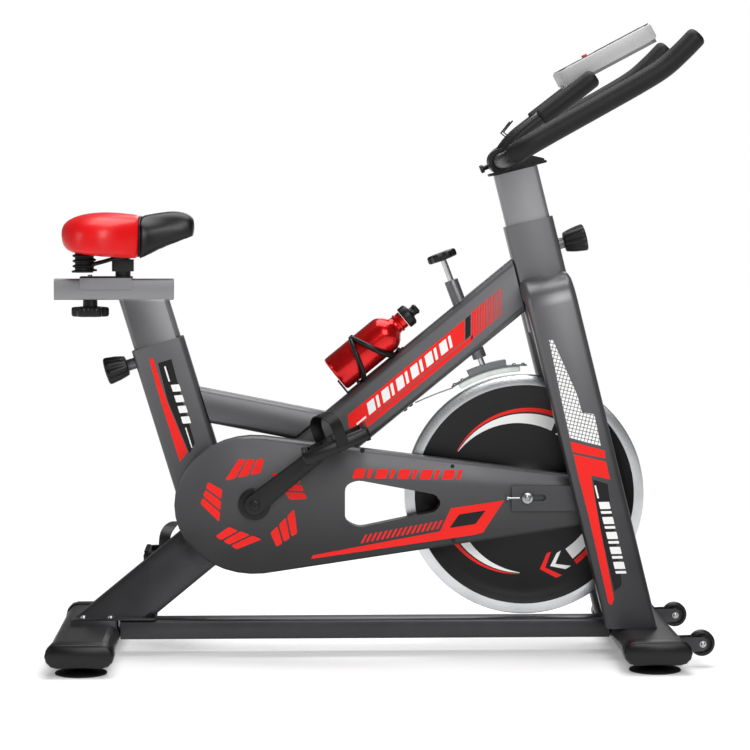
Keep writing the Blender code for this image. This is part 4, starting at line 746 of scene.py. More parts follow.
@dataclass
class FrameGraphics:
    """Printed film on the tubes: plain bars and wedges in red, white and black."""

    beam_face: float = 0.0225
    seat_face: float = 0.0245
    leg_face: float = 0.101

    def build(self) -> None:
        """Lays the film on both outer sides of the frame."""
        for word, side in SIDES:
            red, white, dark = bmesh.new(), bmesh.new(), bmesh.new()
            self.beam(red, white, dark, side)
            self.seat_tube(red, white, dark, side)
            self.leg(red, white, dark, side, word)
            for colour, bm, finish in (("red", red, RED_PRINT), ("white", white, WHITE_PRINT),
                                       ("black", dark, DARK_PRINT)):
                publish(f"frame_{colour}_film_{word}", bm, finish, "frame")

    def bar(self, bm: Shape, start: Vector, down: Vector, corners: Outline, y: float, step: float,
            radius: float = 0.0) -> None:
        """Lays one bar in a tube's own directions.

        Args:
            bm: The film it is added to.
            start: X and Z of the row's start.
            down: The row's direction.
            corners: Distance down the row and across it of each corner.
            y: Where its back lies.
            step: Signed thickness of the film.
            radius: Radius of its corners, or 0.
        """
        across = Vector((-down.y, down.x))
        slab(bm, [tuple(start + down * u + across * w) for u, w in corners], y, step, radius)

    def beam(self, red: Shape, white: Shape, dark: Shape, side: int) -> None:
        """Lays the band, its white bars and the fading strips on the main beam.

        Args:
            red: The red film.
            white: The white film.
            dark: The black film.
            side: The side it lies on.
        """
        y = side * (self.beam_face + GAP)
        step = side * FILM

        def level(corners: Outline) -> Outline:
            """Returns points of the beam from level X distances and heights above its middle."""
            return [along_beam((x + w * math.sin(BEAM_TURN)) / math.cos(BEAM_TURN), w) for x, w in corners]

        def sloped(corners: Outline) -> Outline:
            """Returns points of the beam from distances along it and heights above its middle."""
            return [along_beam(u, w) for u, w in corners]

        low, high = -0.013, 0.0138
        slab(red, sloped([(-0.075, low), (0.1715, low), (0.1935, high), (-0.058, high)]), y, step)
        slab(red, sloped([(-0.079, -0.0225), (0.18, -0.0225), (0.1875, -0.015), (-0.0755, -0.015)]), y, step)
        slab(dark, level([(0.142, low), (0.1505, low), (0.1505, high), (0.142, high)]), y, step)
        for i in range(12):
            left = 0.152 + i * 0.00445
            right = left + (0.0036 - i * 0.00021)
            slab(red, level([(left, -0.02), (right, -0.02), (right, 0.016), (left, 0.016)]), y, step)
        low, high, slant = -0.0088, 0.009, 0.009
        for i in range(6):
            left = -0.03 + i * 0.031
            for start, width in ((0.0, 0.015), (0.019, 0.0055)):
                first = left + start
                slab(white, sloped([(first, low), (first + width, low), (first + width + slant, high),
                                    (first + slant, high)]), y + step, step, 0.0012)
        slab(white, sloped([(-0.056, low), (-0.036, low), (-0.035, -0.0058), (-0.055, -0.0058)]), y + step, step)

    def seat_tube(self, red: Shape, white: Shape, dark: Shape, side: int) -> None:
        """Lays the wedge, the dark patch and its white bars on the seat tube.

        Args:
            red: The red film.
            white: The white film.
            dark: The black film.
            side: The side it lies on.
        """
        y = side * (self.seat_face + GAP)
        step = side * FILM
        slab(dark, [(-0.3672, 0.488), (-0.345, 0.495), (-0.3271, 0.4257), (-0.3069, 0.3551), (-0.3158, 0.3375),
                    (-0.3513, 0.4257)], y, step, 0.001)
        slab(red, [(-0.382, 0.495), (-0.3754, 0.4967), (-0.3534, 0.4257), (-0.3187, 0.3405), (-0.3319, 0.3243),
                   (-0.363, 0.4257)], y, step, 0.0006)
        start, down = Vector((-0.354, 0.479)), Vector((0.2924, -0.9563))
        self.bar(white, start, down, [(-0.004, -0.0022), (0.022, -0.0022), (0.022, 0.0004), (-0.004, 0.0004)],
                 y + step, step)
        for i in range(4):
            low = 0.028 + i * 0.0185
            self.bar(white, start, down, [(low, -0.0005), (low + 0.012, -0.0005), (low + 0.015, 0.013),
                                          (low + 0.003, 0.013)], y + step, step, 0.001)
        self.bar(white, start, down, [(0.103, 0.001), (0.138, 0.001), (0.138, 0.003), (0.103, 0.003)],
                 y + step, step)

    def leg(self, red: Shape, white: Shape, dark: Shape, side: int, word: str) -> None:
        """Lays the white grid, the red hook and the dark patch on a fork leg.

        Args:
            red: The red film.
            white: The white film.
            dark: The black film.
            side: The side it lies on.
            word: That side's name.
        """
        y = side * (self.leg_face + GAP)
        step = side * FILM
        grid = bmesh.new()
        slab(grid, [(0.2736, 0.5292), (0.28, 0.5292), (0.3205, 0.4385), (0.3283, 0.4107), (0.3484, 0.4075),
                    (0.3595, 0.3549), (0.3084, 0.369), (0.2927, 0.4385)], y, step)
        publish(f"fork_leg_grid_{word}", grid, GRID_PRINT, "frame")
        slab(red, [(0.3094, 0.3628), (0.3658, 0.3478), (0.3674, 0.3348), (0.3132, 0.3458)], y, step, 0.0006)
        slab(red, [(0.3147, 0.342), (0.368, 0.3295), (0.375, 0.3), (0.3434, 0.3073), (0.3485, 0.2775),
                   (0.3587, 0.2216), (0.3826, 0.1032), (0.3786, 0.0932), (0.3733, 0.0954), (0.34, 0.2403),
                   (0.3227, 0.3055)], y, step)
        slab(dark, [(0.3474, 0.3), (0.3707, 0.2929), (0.3949, 0.1312), (0.3934, 0.1234), (0.3829, 0.1157),
                    (0.36, 0.2153), (0.349, 0.28)], y, step)
        start, down = Vector((0.353, 0.283)), Vector((0.2419, -0.9703))
        self.bar(white, start, down, [(-0.008, -0.0022), (0.014, -0.0022), (0.014, 0.0006), (-0.008, 0.0006)],
                 y + step, step)
        for i in range(5):
            low = 0.02 + i * 0.0255
            for first, long in ((low, 0.012), (low + 0.0155, 0.0045)):
                self.bar(white, start, down, [(first, -0.002), (first + long, -0.002),
                                              (first + long + 0.004, 0.015), (first + 0.004, 0.015)],
                         y + step, step, 0.001)


@dataclass
class GuardGraphics:
    """Printed film and screws on the belt guard."""

    face: float = -0.057
    centre: tuple[float, float] = (-0.2083, 0.256)
    stretch: float = 1.13
    petals: int = 5
    hatch: int = 16

    def build(self) -> None:
        """Prints the ring of slanted bars, the long sweep, the hatch and a row of plain bars."""
        red, dark, screws = bmesh.new(), bmesh.new(), bmesh.new()
        y = self.face - GAP
        for petal in range(self.petals):
            angle = math.radians(103 + 360 / self.petals * petal)
            out = Vector((math.cos(angle), math.sin(angle)))
            across = Vector((out.y, -out.x))
            for bar in range(3):
                low, high, top = -0.0325 + 0.0187 * bar, -0.005 + 0.0134 * bar, 0.0785 - 0.0028 * bar
                corners = ((low, 0.0488), (low + 0.0153, 0.0485), (high + 0.01, top - 0.0025), (high, top))
                spots = [out * r + across * t for t, r in corners]
                slab(red, [(self.centre[0] + spot.x * self.stretch, self.centre[1] + spot.y) for spot in spots],
                     y, -FILM, 0.0028)
        slab(red, [(-0.115, 0.1655), (-0.112, 0.1715), (0.0984, 0.2105), (0.1165, 0.249), (0.2043, 0.2613),
                   (0.17, 0.2085), (0.156, 0.2045)], y, -FILM, 0.001)
        slab(dark, [(0.114, 0.216), (0.157, 0.2225), (0.174, 0.245), (0.13, 0.2385)], y - FILM, -FILM,
             0.002)
        for i in range(self.hatch):
            x = -0.033 + i * 0.0083
            z = 0.1905 + (x + 0.0354) * 0.187
            slab(red, [(x, z), (x + 0.004, z + 0.0007), (x + 0.0115, z + 0.015), (x + 0.0075, z + 0.0143)], y,
                 -FILM)
        for i in range(5):
            left = -0.047 + i * 0.037
            lift = -0.018 * (left + 0.047)
            low, high = 0.299 + lift, 0.315 + lift
            for first, width in ((left, 0.0185), (left + 0.0235, 0.0065)):
                slab(red, [(first, low), (first + width, low), (first + width + 0.005, high),
                           (first + 0.005, high)], y, -FILM, 0.0015)
        for x, z in ((0.1189, 0.3186), (0.1205, 0.1953), (-0.03, 0.344)):
            matrix = frame_at(Vector((x, self.face + 0.0006, z)), -ACROSS, ALONG)
            dome_head(screws, matrix, 0.0034, 0.0016)
        for name, bm, finish in (("guard_red_film", red, RED_PRINT), ("guard_dark_film", dark, DARK_PRINT),
                                 ("guard_screws", screws, BLACK_COAT)):
            publish(name, bm, finish, "frame")


@dataclass
class Hardware:
    """Visible bolts, nuts and adjusters."""

    wheel_bolt: tuple[float, float, float] = (0.519, 0.155, 0.0385)
    adjuster_y: float = 0.0668
    cap_y: float = 0.0775

    def build(self) -> None:
        """Makes the axle nuts, belt adjusters, base bolts and crank caps."""
        bright, black, caps = bmesh.new(), bmesh.new(), bmesh.new()
        for _, side in SIDES:
            out = ACROSS * side
            hex_head(bright, frame_at(WHEEL_CENTRE + out * 0.0646, out, ALONG), 0.015, 0.0075, 0.006)
            nut_at = WHEEL_CENTRE + Vector((-0.03, side * 0.0622, 0))
            hex_head(bright, frame_at(nut_at, -ALONG, UP), 0.007, 0.004)
            screw = [WHEEL_CENTRE + Vector((x, side * self.adjuster_y, 0)) for x in (-0.033, -0.012)]
            join(bright, tube(screw, [0.0019, 0.0019], 14))
            for x in (-0.493, -0.448):
                dome_head(bright, frame_at(Vector((x, side * 0.024, 0.0641)), UP, ALONG), 0.0058, 0.0042)
            x, y, z = self.wheel_bolt
            for face, away in ((-0.0162, -1), (0.0162, 1)):
                dome_head(bright, frame_at(Vector((x, side * y + face, z)), ACROSS * away, ALONG), 0.004, 0.0026)
            dome_head(caps, frame_at(CRANK_CENTRE + out * self.cap_y, out, ALONG), 0.0085, 0.0022)
        for u in (0.022, 0.034):
            x, z = along_beam(u, -0.0405)
            dome_head(black, frame_at(Vector((x, 0, z)), -upright(BEAM_TURN), ACROSS), 0.0042, 0.0034)
        publish("frame_bright_bolts", bright, ZINC, "frame")
        publish("frame_black_screws", black, BLACK_COAT, "frame")
        publish("crank_caps", caps, BLACK_NYLON, "crankset")


@dataclass
class Foot:
    """A moulded levelling foot with a rounded skirt."""

    radius: float = 0.042
    top: float = 0.0145

    def build(self, node: str, body: str) -> None:
        """Makes one foot in the place of its CAD node.

        Args:
            node: The CAD node it stands for.
            body: The body it rides on.
        """
        low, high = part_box(node)
        centre = Vector(((low.x + high.x) / 2, (low.y + high.y) / 2, 0))
        r = self.radius
        profile = [(0, 0), (r - 0.003, 0), (r - 0.0005, 0.0008), (r, 0.0024), (r - 0.0015, 0.0042),
                   (r - 0.006, 0.0052), (r - 0.009, 0.006), (0.026, 0.0084), (0.0185, 0.0098), (0.0145, 0.0116),
                   (0.0125, self.top), (0, self.top)]
        publish(f"{node}_moulding", turned(frame_at(centre, UP, ALONG), profile, 64), BLACK_RUBBER, body,
                smooth=50, replaces=(node,))


@dataclass
class TransportWheel:
    """A small hard wheel with a tyre, a dished face and a hub."""

    radius: float = 0.021
    half: float = 0.0095

    def build(self, node: str, body: str) -> None:
        """Makes one wheel in the place of its CAD node.

        Args:
            node: The CAD node it stands for.
            body: The body it rides on.
        """
        low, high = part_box(node)
        centre = (low + high) / 2
        r, h = self.radius, self.half
        side = [(0.0042, h - 0.001), (0.0075, h - 0.001), (0.0085, h - 0.0026), (0.014, h - 0.0026),
                (0.015, h - 0.0006), (0.016, h), (r - 0.003, h), (r - 0.001, h - 0.0012), (r, h - 0.0034)]
        profile = side + [(radius, -z) for radius, z in reversed(side)]
        publish(f"{node}_moulding", turned(frame_at(centre, -ACROSS, ALONG), profile, 64),
                BLACK_NYLON, body, replaces=(node,))


@dataclass
class Knobs:
    """Every fluted hand knob, with the bright pins and bolts they carry."""

    seat_tilt: float = math.radians(17)
    head_tilt: float = math.radians(14)

    def build(self) -> None:
        """Makes the two pull knobs, the star knob and the brake knob."""
        seat_up, seat_front = upright(self.seat_tilt), along(self.seat_tilt)
        head_up, head_front = upright(self.head_tilt), along(self.head_tilt)
        seat = Vector((-0.3685, 0, 0.52)) - seat_up * 0.0208
        head = Vector((0.247, 0, 0.7218)) - head_up * 0.0487
        self.pull_knob("seat_height_knob", frame_at(seat, -seat_front, seat_up), 0.059, "seat_height_pin")
        self.pull_knob("head_height_knob", frame_at(head, head_front, head_up), 0.0508, "handlebar_height_pin")
        star = frame_at(Vector((-0.48, 0, 0.5925)), -UP, ALONG)
        layers = [(0.0003, 0.0118, 0.0004), (0.011, 0.0122, 0.0004), (0.0118, 0.0225, 0.004),
                  (0.0124, 0.029, 0.0065), (0.014, 0.0308, 0.007), (0.0165, 0.0312, 0.007),
                  (0.024, 0.0312, 0.007), (0.0268, 0.0304, 0.0068), (0.028, 0.0285, 0.0062)]
        publish("fore_aft_star", fluted(star, layers, 6), BLACK_NYLON, "fore_aft_handwheel",
                replaces=("fore_aft_knob",))
        bolt = [(0, -0.0412), (0.0032, -0.0412), (0.004, -0.0404), (0.004, 0.002), (0, 0.002)]
        publish("fore_aft_bolt", turned(star, bolt, 24), ZINC, "fore_aft_handwheel")
        brake = frame_at(BRAKE_KNOB, -upright(BRAKE_TILT), along(BRAKE_TILT))
        layers = [(-0.0075, 0.0205, 0.0022), (-0.0068, 0.0232, 0.003), (-0.005, 0.0248, 0.0034),
                  (-0.003, 0.025, 0.0035), (0.002, 0.025, 0.0035), (0.0042, 0.0244, 0.0033),
                  (0.0054, 0.0226, 0.0028), (0.0057, 0.018, 0.0016)]
        publish("brake_knob_moulding", fluted(brake, layers, 6), BLACK_NYLON, "tension_knob",
                replaces=("brake_knob",))

    def pull_knob(self, node: str, matrix: Matrix, near: float, body: str) -> None:
        """Makes a tapered fluted knob with its pin.

        Args:
            node: The CAD node it stands for.
            matrix: Its frame, local Z pointing out along the pin.
            near: Distance along the pin to the knob's inner face.
            body: The body it rides on.
        """
        layers = [(near, 0.014, 0.0004), (near + 0.001, 0.0164, 0.001), (near + 0.006, 0.0182, 0.0018),
                  (near + 0.016, 0.0208, 0.0026), (near + 0.028, 0.0226, 0.0032), (near + 0.0325, 0.0232, 0.0032),
                  (near + 0.035, 0.0226, 0.0028), (near + 0.0368, 0.02, 0.0018), (near + 0.0375, 0.015, 0.0006)]
        publish(f"{node}_moulding", fluted(matrix, layers, 7), BLACK_NYLON, body, replaces=(node,))
        pin = [(0, 0.038), (0.003, 0.038), (0.004, 0.0392), (0.004, near + 0.002), (0, near + 0.002)]
        publish(f"{node}_pin", turned(matrix, pin, 24), ZINC, body)


@dataclass
class Brake:
    """The push rod, the pad's block and wings, the felt and the leaf spring that lifts it."""

    body: str = "brake_rod"

    def build(self) -> None:
        """Makes the brake's moving pieces."""
        matrix = frame_at(BRAKE_KNOB, -upright(BRAKE_TILT), along(BRAKE_TILT))
        rod = [(0, 0.0065), (0.005, 0.0065), (0.005, 0.204), (0, 0.204)]
        publish("brake_rod_bar", turned(matrix, rod, 32), CHROME, self.body,
                replaces=("brake_plunger",))
        carrier, bolts = bmesh.new(), bmesh.new()
        self.plate(carrier, (98, 115), (0.217, 0.2275), 0.011)
        self.plate(carrier, (89, 124), (0.215, 0.2172), 0.012)
        for angle in (90.5, 94.5, 118.5, 122.5):
            out = along(math.radians(angle))
            dome_head(bolts, frame_at(WHEEL_CENTRE + out * 0.2172, out, ACROSS), 0.003, 0.0028)
        publish("brake_pad_carrier", carrier, BRAKE_GREY, self.body, bevel_mm=0.5)
        publish("brake_carrier_bolts", bolts, ZINC, self.body)
        felt = bmesh.new()
        self.plate(felt, (92, 121), (0.2058, 0.2148), 0.0118)
        publish("brake_felt", felt, WOOL_FELT, self.body, replaces=("brake_pad",), bevel_mm=2.4, smooth=60)
        leaf = smooth_path([(0.06, 0.0, 0.4195), (0.075, 0.0, 0.4262), (0.095, 0.0, 0.4345),
                            (0.1235, 0.0, 0.4448)], 5)
        publish("brake_leaf_spring", tube(leaf, [0.0011] * len(leaf), 12), ZINC, self.body)

    def plate(self, bm: Shape, angles: tuple[float, float], radii: tuple[float, float], half: float) -> None:
        """Adds a piece bent round the wheel.

        Args:
            bm: The bmesh it is added to.
            angles: Where it starts and ends, in degrees.
            radii: Its inner and outer radius.
            half: Half its width.
        """
        rows: list[Outline] = [[], []]
        for i in range(13):
            turn = math.radians(angles[0] + (angles[1] - angles[0]) * i / 12)
            for row, radius in zip(rows, radii):
                row.append((WHEEL_CENTRE.x + radius * math.cos(turn), WHEEL_CENTRE.z + radius * math.sin(turn)))
        slab(bm, rows[0] + list(reversed(rows[1])), -half, 2 * half)


@dataclass
class Bars:
    """The bent handlebar with its foam grips."""

    bar: float = 0.0125
    grip: float = 0.0167
    inner_bar: float = 0.0105
    inner_grip: float = 0.0152
    inner_y: float = 0.0745

    def build(self) -> None:
        """Makes the steel bars, then the four foam sleeves."""
        right = smooth_path([(0.2, -0.1, 0.822), (0.201, -0.135, 0.8225), (0.208, -0.164, 0.828),
                             (0.23, -0.179, 0.8425), (0.27, -0.18, 0.8655), (0.34, -0.18, 0.9045),
                             (0.41, -0.18, 0.944), (0.448, -0.18, 0.968), (0.476, -0.18, 0.993),
                             (0.498, -0.18, 1.0155)], 8)
        left = [Vector((p.x, -p.y, p.z)) for p in right]
        line = list(reversed(right[:-4])) + left[:-4]
        bm = tube(line, [self.bar] * len(line), 28)
        for _, side in SIDES:
            path = self.inner_path(side)
            join(bm, tube(path[:-3], [self.inner_bar] * (len(path) - 3), 24))
        publish("handlebar_tubes", bm, BLACK_COAT, "handlebar_group", replaces=("handlebar",))
        for word, side, path in (("right", NEAR, right), ("left", FAR, left)):
            self.sleeve(f"outer_grip_{word}", path[17:], self.grip)
            self.sleeve(f"inner_grip_{word}", self.inner_path(side)[24:], self.inner_grip)

    def inner_path(self, side: int) -> list[Vector]:
        """Draws the centre line of one inner bar.

        Args:
            side: The side it stands on.

        Returns:
            Its points.
        """
        y = side * self.inner_y
        return smooth_path([(0.2, y, 0.822), (0.212, y, 0.844), (0.23, y, 0.865), (0.262, y, 0.8905),
                            (0.299, y, 0.919), (0.344, y, 0.954)], 8)

    def sleeve(self, node: str, path: list[Vector], radius: float) -> None:
        """Makes a foam sleeve with a soft mouth and a rounded end.

        Args:
            node: The CAD node it stands for.
            path: Its centre line.
            radius: Its radius.
        """
        first, last = path[0], path[-1]
        back, ahead = (first - path[1]).normalized(), (last - path[-2]).normalized()
        points = [first, first - back * 0.0008, first - back * 0.0025, *path[1:], last + ahead * 0.003,
                  last + ahead * 0.006, last + ahead * 0.008, last + ahead * 0.0088]
        radii = [radius - 0.0016, radius - 0.0004, radius] + [radius] * (len(path) - 1)
        radii += [radius * 0.96, radius * 0.82, radius * 0.58, radius * 0.25]
        publish(f"{node}_foam", tube(points, radii, 32), GRIP_FOAM, "handlebar_group", smooth=60,
                replaces=(node,))


@dataclass
class ConsoleTrim:
    """The console's screen window, its top line and its underside band."""

    tilt: float = math.radians(28)
    centre: Vector = Vector((0.3745, 0.0, 0.9935))

    def build(self) -> None:
        """Makes the window with its frame, the line and the band."""
        matrix = frame_at(self.centre, upright(self.tilt), along(self.tilt))
        for name, shift, rise, size, radius, finish in (
                ("console_window", 0.03, 0.0162, (0.078, 0.074, 0.0012), 0.004, SCREEN),
                ("console_window_frame", 0.03, 0.0158, (0.09, 0.086, 0.001), 0.006, CONSOLE_BAND),
                ("console_top_line", 0.0, 0.015, (0.166, 0.11, 0.002), 0.011, CONSOLE_EDGE),
                ("console_under_band", 0.0, -0.0166, (0.1645, 0.1085, 0.0088), 0.011, CONSOLE_BAND)):
            self.plate(name, matrix @ Matrix.Translation((shift, 0, rise)), size, radius, finish)

    def plate(self, name: str, matrix: Matrix, size: tuple[float, float, float], radius: float,
              finish: Finish) -> None:
        """Makes a rounded plate from its back face up.

        Args:
            name: The piece's name.
            matrix: The plate's frame.
            size: Length, width and thickness.
            radius: Radius of its upright corners.
            finish: Its finish.
        """
        bm = bmesh.new()
        bmesh.ops.create_cube(bm, size=1.0)
        bmesh.ops.scale(bm, vec=size, verts=bm.verts)
        bmesh.ops.translate(bm, verts=bm.verts, vec=(0, 0, size[2] / 2))
        corners = [e for e in bm.edges if abs(e.verts[0].co.z - e.verts[1].co.z) > size[2] / 2]
        bevel(bm, corners, radius, 6)
        bm.transform(matrix)
        publish(name, bm, finish, "handlebar_group", bevel_mm=0.25)


@dataclass
class Saddle:
    """The two-tone padded saddle on its bent wire rails and rubber springs."""

    body: str = "saddle"
    cell: float = 0.003
    pressure: float = 4.0
    frames: int = 20
    swell: float = 0.0024
    # Each station: x, half width, top at the middle, underside, and how far the skirt hangs below it.
    rear: tuple[tuple[float, ...], ...] = (
        (-0.5262, 0.026, 0.705, 0.686, 0.001), (-0.5215, 0.048, 0.7165, 0.6825, 0.004),
        (-0.508, 0.073, 0.7262, 0.6785, 0.006), (-0.488, 0.088, 0.7325, 0.678, 0.009),
        (-0.46, 0.094, 0.7352, 0.678, 0.012), (-0.434, 0.086, 0.7342, 0.677, 0.014),
        (-0.412, 0.069, 0.7318, 0.6765, 0.016), (-0.3966, 0.053, 0.7305, 0.6755, 0.016))
    nose: tuple[tuple[float, ...], ...] = (
        (-0.3962, 0.051, 0.7308, 0.6755, 0.016), (-0.38, 0.042, 0.734, 0.681, 0.015),
        (-0.36, 0.035, 0.7372, 0.688, 0.013), (-0.34, 0.03, 0.739, 0.6945, 0.011),
        (-0.322, 0.027, 0.7365, 0.699, 0.008), (-0.311, 0.024, 0.73, 0.7, 0.005),
        (-0.3072, 0.018, 0.7235, 0.7, 0.003))

    def build(self) -> None:
        """Makes the pads, the piping, the rails and the springs."""
        self.pad("saddle_rear_pad", self.rear, RED_VINYL, "saddle_rear")
        self.pad("saddle_nose_pad", self.nose, BLACK_VINYL, "saddle_nose")
        seam = self.section(self.rear[-1])[:17]
        middle = Vector((-0.3959, 0, 0.7))
        path = [Vector((middle.x, point.y * 0.985, middle.z + (point.z - middle.z) * 0.985)) for point in seam]
        publish("saddle_piping", tube(path, [0.0016] * len(path), 12), BLACK_VINYL, self.body,
                smooth=60)
        right = [(-0.4757, -0.043, 0.651), (-0.456, -0.033, 0.656), (-0.44, -0.0235, 0.6605),
                 (-0.415, -0.0215, 0.664), (-0.388, -0.019, 0.6705), (-0.373, -0.012, 0.678)]
        left = [(x, -y, z) for x, y, z in reversed(right)]
        path = smooth_path([*right, (-0.369, 0.0, 0.68), *left], 6)
        publish("saddle_rail_wire", tube(path, [0.0034] * len(path), 20), BLACK_COAT, self.body,
                replaces=("saddle_rails",))
        for word, side in SIDES:
            centre = Vector((-0.4891, side * 0.045, 0.6385))
            profile = [(0, 0), (0.0172, 0), (0.0178, 0.0012), (0.0178, 0.003), (0.0125, 0.0044)]
            for i in range(3):
                z = 0.0075 + i * 0.0085
                profile += [(0.0122, z), (0.016, z + 0.0018), (0.0166, z + 0.003), (0.016, z + 0.0042),
                            (0.0122, z + 0.006)]
            profile += [(0.0122, 0.0345), (0.015, 0.0352), (0.015, 0.0363), (0, 0.0363)]
            publish(f"saddle_spring_{word}_bellows", turned(frame_at(centre, UP, ALONG), profile, 48), BLACK_RUBBER,
                    self.body, smooth=50, replaces=(f"saddle_spring_{word}",))

    def section(self, station: tuple[float, ...]) -> list[Vector]:
        """Draws one crowned section whose skirts hang beside a hollow underside.

        Args:
            station: Its sizes, as in the stations above.

        Returns:
            Its points, first over the crown and then under.
        """
        x, half, top, under, drop = station
        edge = under - drop
        points = []
        for step in range(17):
            angle = math.pi * step / 16
            across = math.copysign(abs(math.cos(angle)) ** 0.62, math.cos(angle))
            points.append(Vector((x, half * across, edge + 0.004 + (top - edge - 0.004) * math.sin(angle) ** 0.55)))
        under_side = ((-0.95, edge), (-0.76, edge), (-0.58, under), (0.0, under), (0.58, under), (0.76, edge),
                      (0.95, edge))
        return points + [Vector((x, half * share, z)) for share, z in under_side]

    def relax(self, piece: bpy.types.Object, passes: int) -> None:
        """Evens out the padding.

        Args:
            piece: The padded piece.
            passes: Number of smoothing passes.
        """
        bm = bmesh.new()
        bm.from_mesh(piece.data)
        for _ in range(passes):
            bmesh.ops.smooth_vert(bm, verts=bm.verts, factor=0.5, use_axis_x=True, use_axis_y=True, use_axis_z=True)
        bm.to_mesh(piece.data)
        bm.free()

    def pad(self, name: str, stations: tuple[tuple[float, ...], ...], finish: Finish,
            replaced: str) -> None:
        """Makes a padded piece: a bridged shell of sections, inflated as cloth.

        Args:
            name: The piece's name.
            stations: Its sections from back to front.
            finish: Its cover.
            replaced: The CAD node it stands for.
        """
        bm = bmesh.new()
        loops = []
        crowns = smooth_path([station[:3] for station in stations], 4)
        skirts = smooth_path([(station[0], *station[3:]) for station in stations], 4)
        for crown, skirt in zip(crowns, skirts):
            verts = [bm.verts.new(point) for point in self.section((*crown, skirt.y, skirt.z))]
            loops.append([bm.edges.new((verts[i - 1], verts[i])) for i in range(len(verts))])
        for first, second in zip(loops, loops[1:]):
            bmesh.ops.bridge_loops(bm, edges=first + second)
        bmesh.ops.contextual_create(bm, geom=loops[0])
        bmesh.ops.contextual_create(bm, geom=loops[-1])
        bmesh.ops.recalc_face_normals(bm, faces=bm.faces)
        bmesh.ops.triangulate(bm, faces=bm.faces)
        mesh = bpy.data.meshes.new(name)
        bm.to_mesh(mesh)
        bm.free()
        piece = bpy.data.objects.new(name, mesh)
        bpy.context.scene.collection.objects.link(piece)
        remesh = piece.modifiers.new("cells", "REMESH")
        remesh.mode, remesh.voxel_size = "VOXEL", self.cell
        self.apply(piece)
        self.relax(piece, 4)
        rest = [vert.co.copy() for vert in piece.data.vertices]
        self.inflate(piece, rest)
        self.relax(piece, 5)
        surface = piece.modifiers.new("surface", "SUBSURF")
        surface.levels = surface.render_levels = 1
        self.apply(piece)
        self.relax(piece, 6)
        piece.data.shade_smooth()
        piece.data.materials.clear()
        piece.data.materials.append(PALETTE.of(finish))
        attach(piece, self.body)
        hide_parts(replaced)
        LOG.info("%s is padded", name)

    def inflate(self, piece: bpy.types.Object, rest: list[Vector]) -> None:
        """Runs the cloth solver under pressure and caps how far each point moves.

        Args:
            piece: The padded piece.
            rest: Its points before.
        """
        cloth = piece.modifiers.new("cloth", "CLOTH")
        cloth.settings.effector_weights.gravity = 0.0
        cloth.settings.use_pressure = True
        cloth.settings.uniform_pressure_force = self.pressure
        cloth.settings.quality = 5
        cloth.point_cache.frame_start, cloth.point_cache.frame_end = 1, self.frames
        for frame in range(1, self.frames + 1):
            bpy.context.scene.frame_set(frame)
        graph = bpy.context.evaluated_depsgraph_get()
        swollen = piece.evaluated_get(graph).to_mesh()
        ends = [vert.co.copy() for vert in swollen.vertices]
        piece.evaluated_get(graph).to_mesh_clear()
        piece.modifiers.remove(cloth)
        bpy.context.scene.frame_set(1)
        for vert, start, end in zip(piece.data.vertices, rest, ends):
            move = end - start
            vert.co = start + (move.normalized() * min(move.length, self.swell) if move.length > 0 else move)

    def apply(self, piece: bpy.types.Object) -> None:
        """Makes the piece's live modifiers permanent.

        Args:
            piece: The padded piece.
        """
        graph = bpy.context.evaluated_depsgraph_get()
        mesh = bpy.data.meshes.new_from_object(piece.evaluated_get(graph))
        piece.modifiers.clear()
        piece.data = mesh


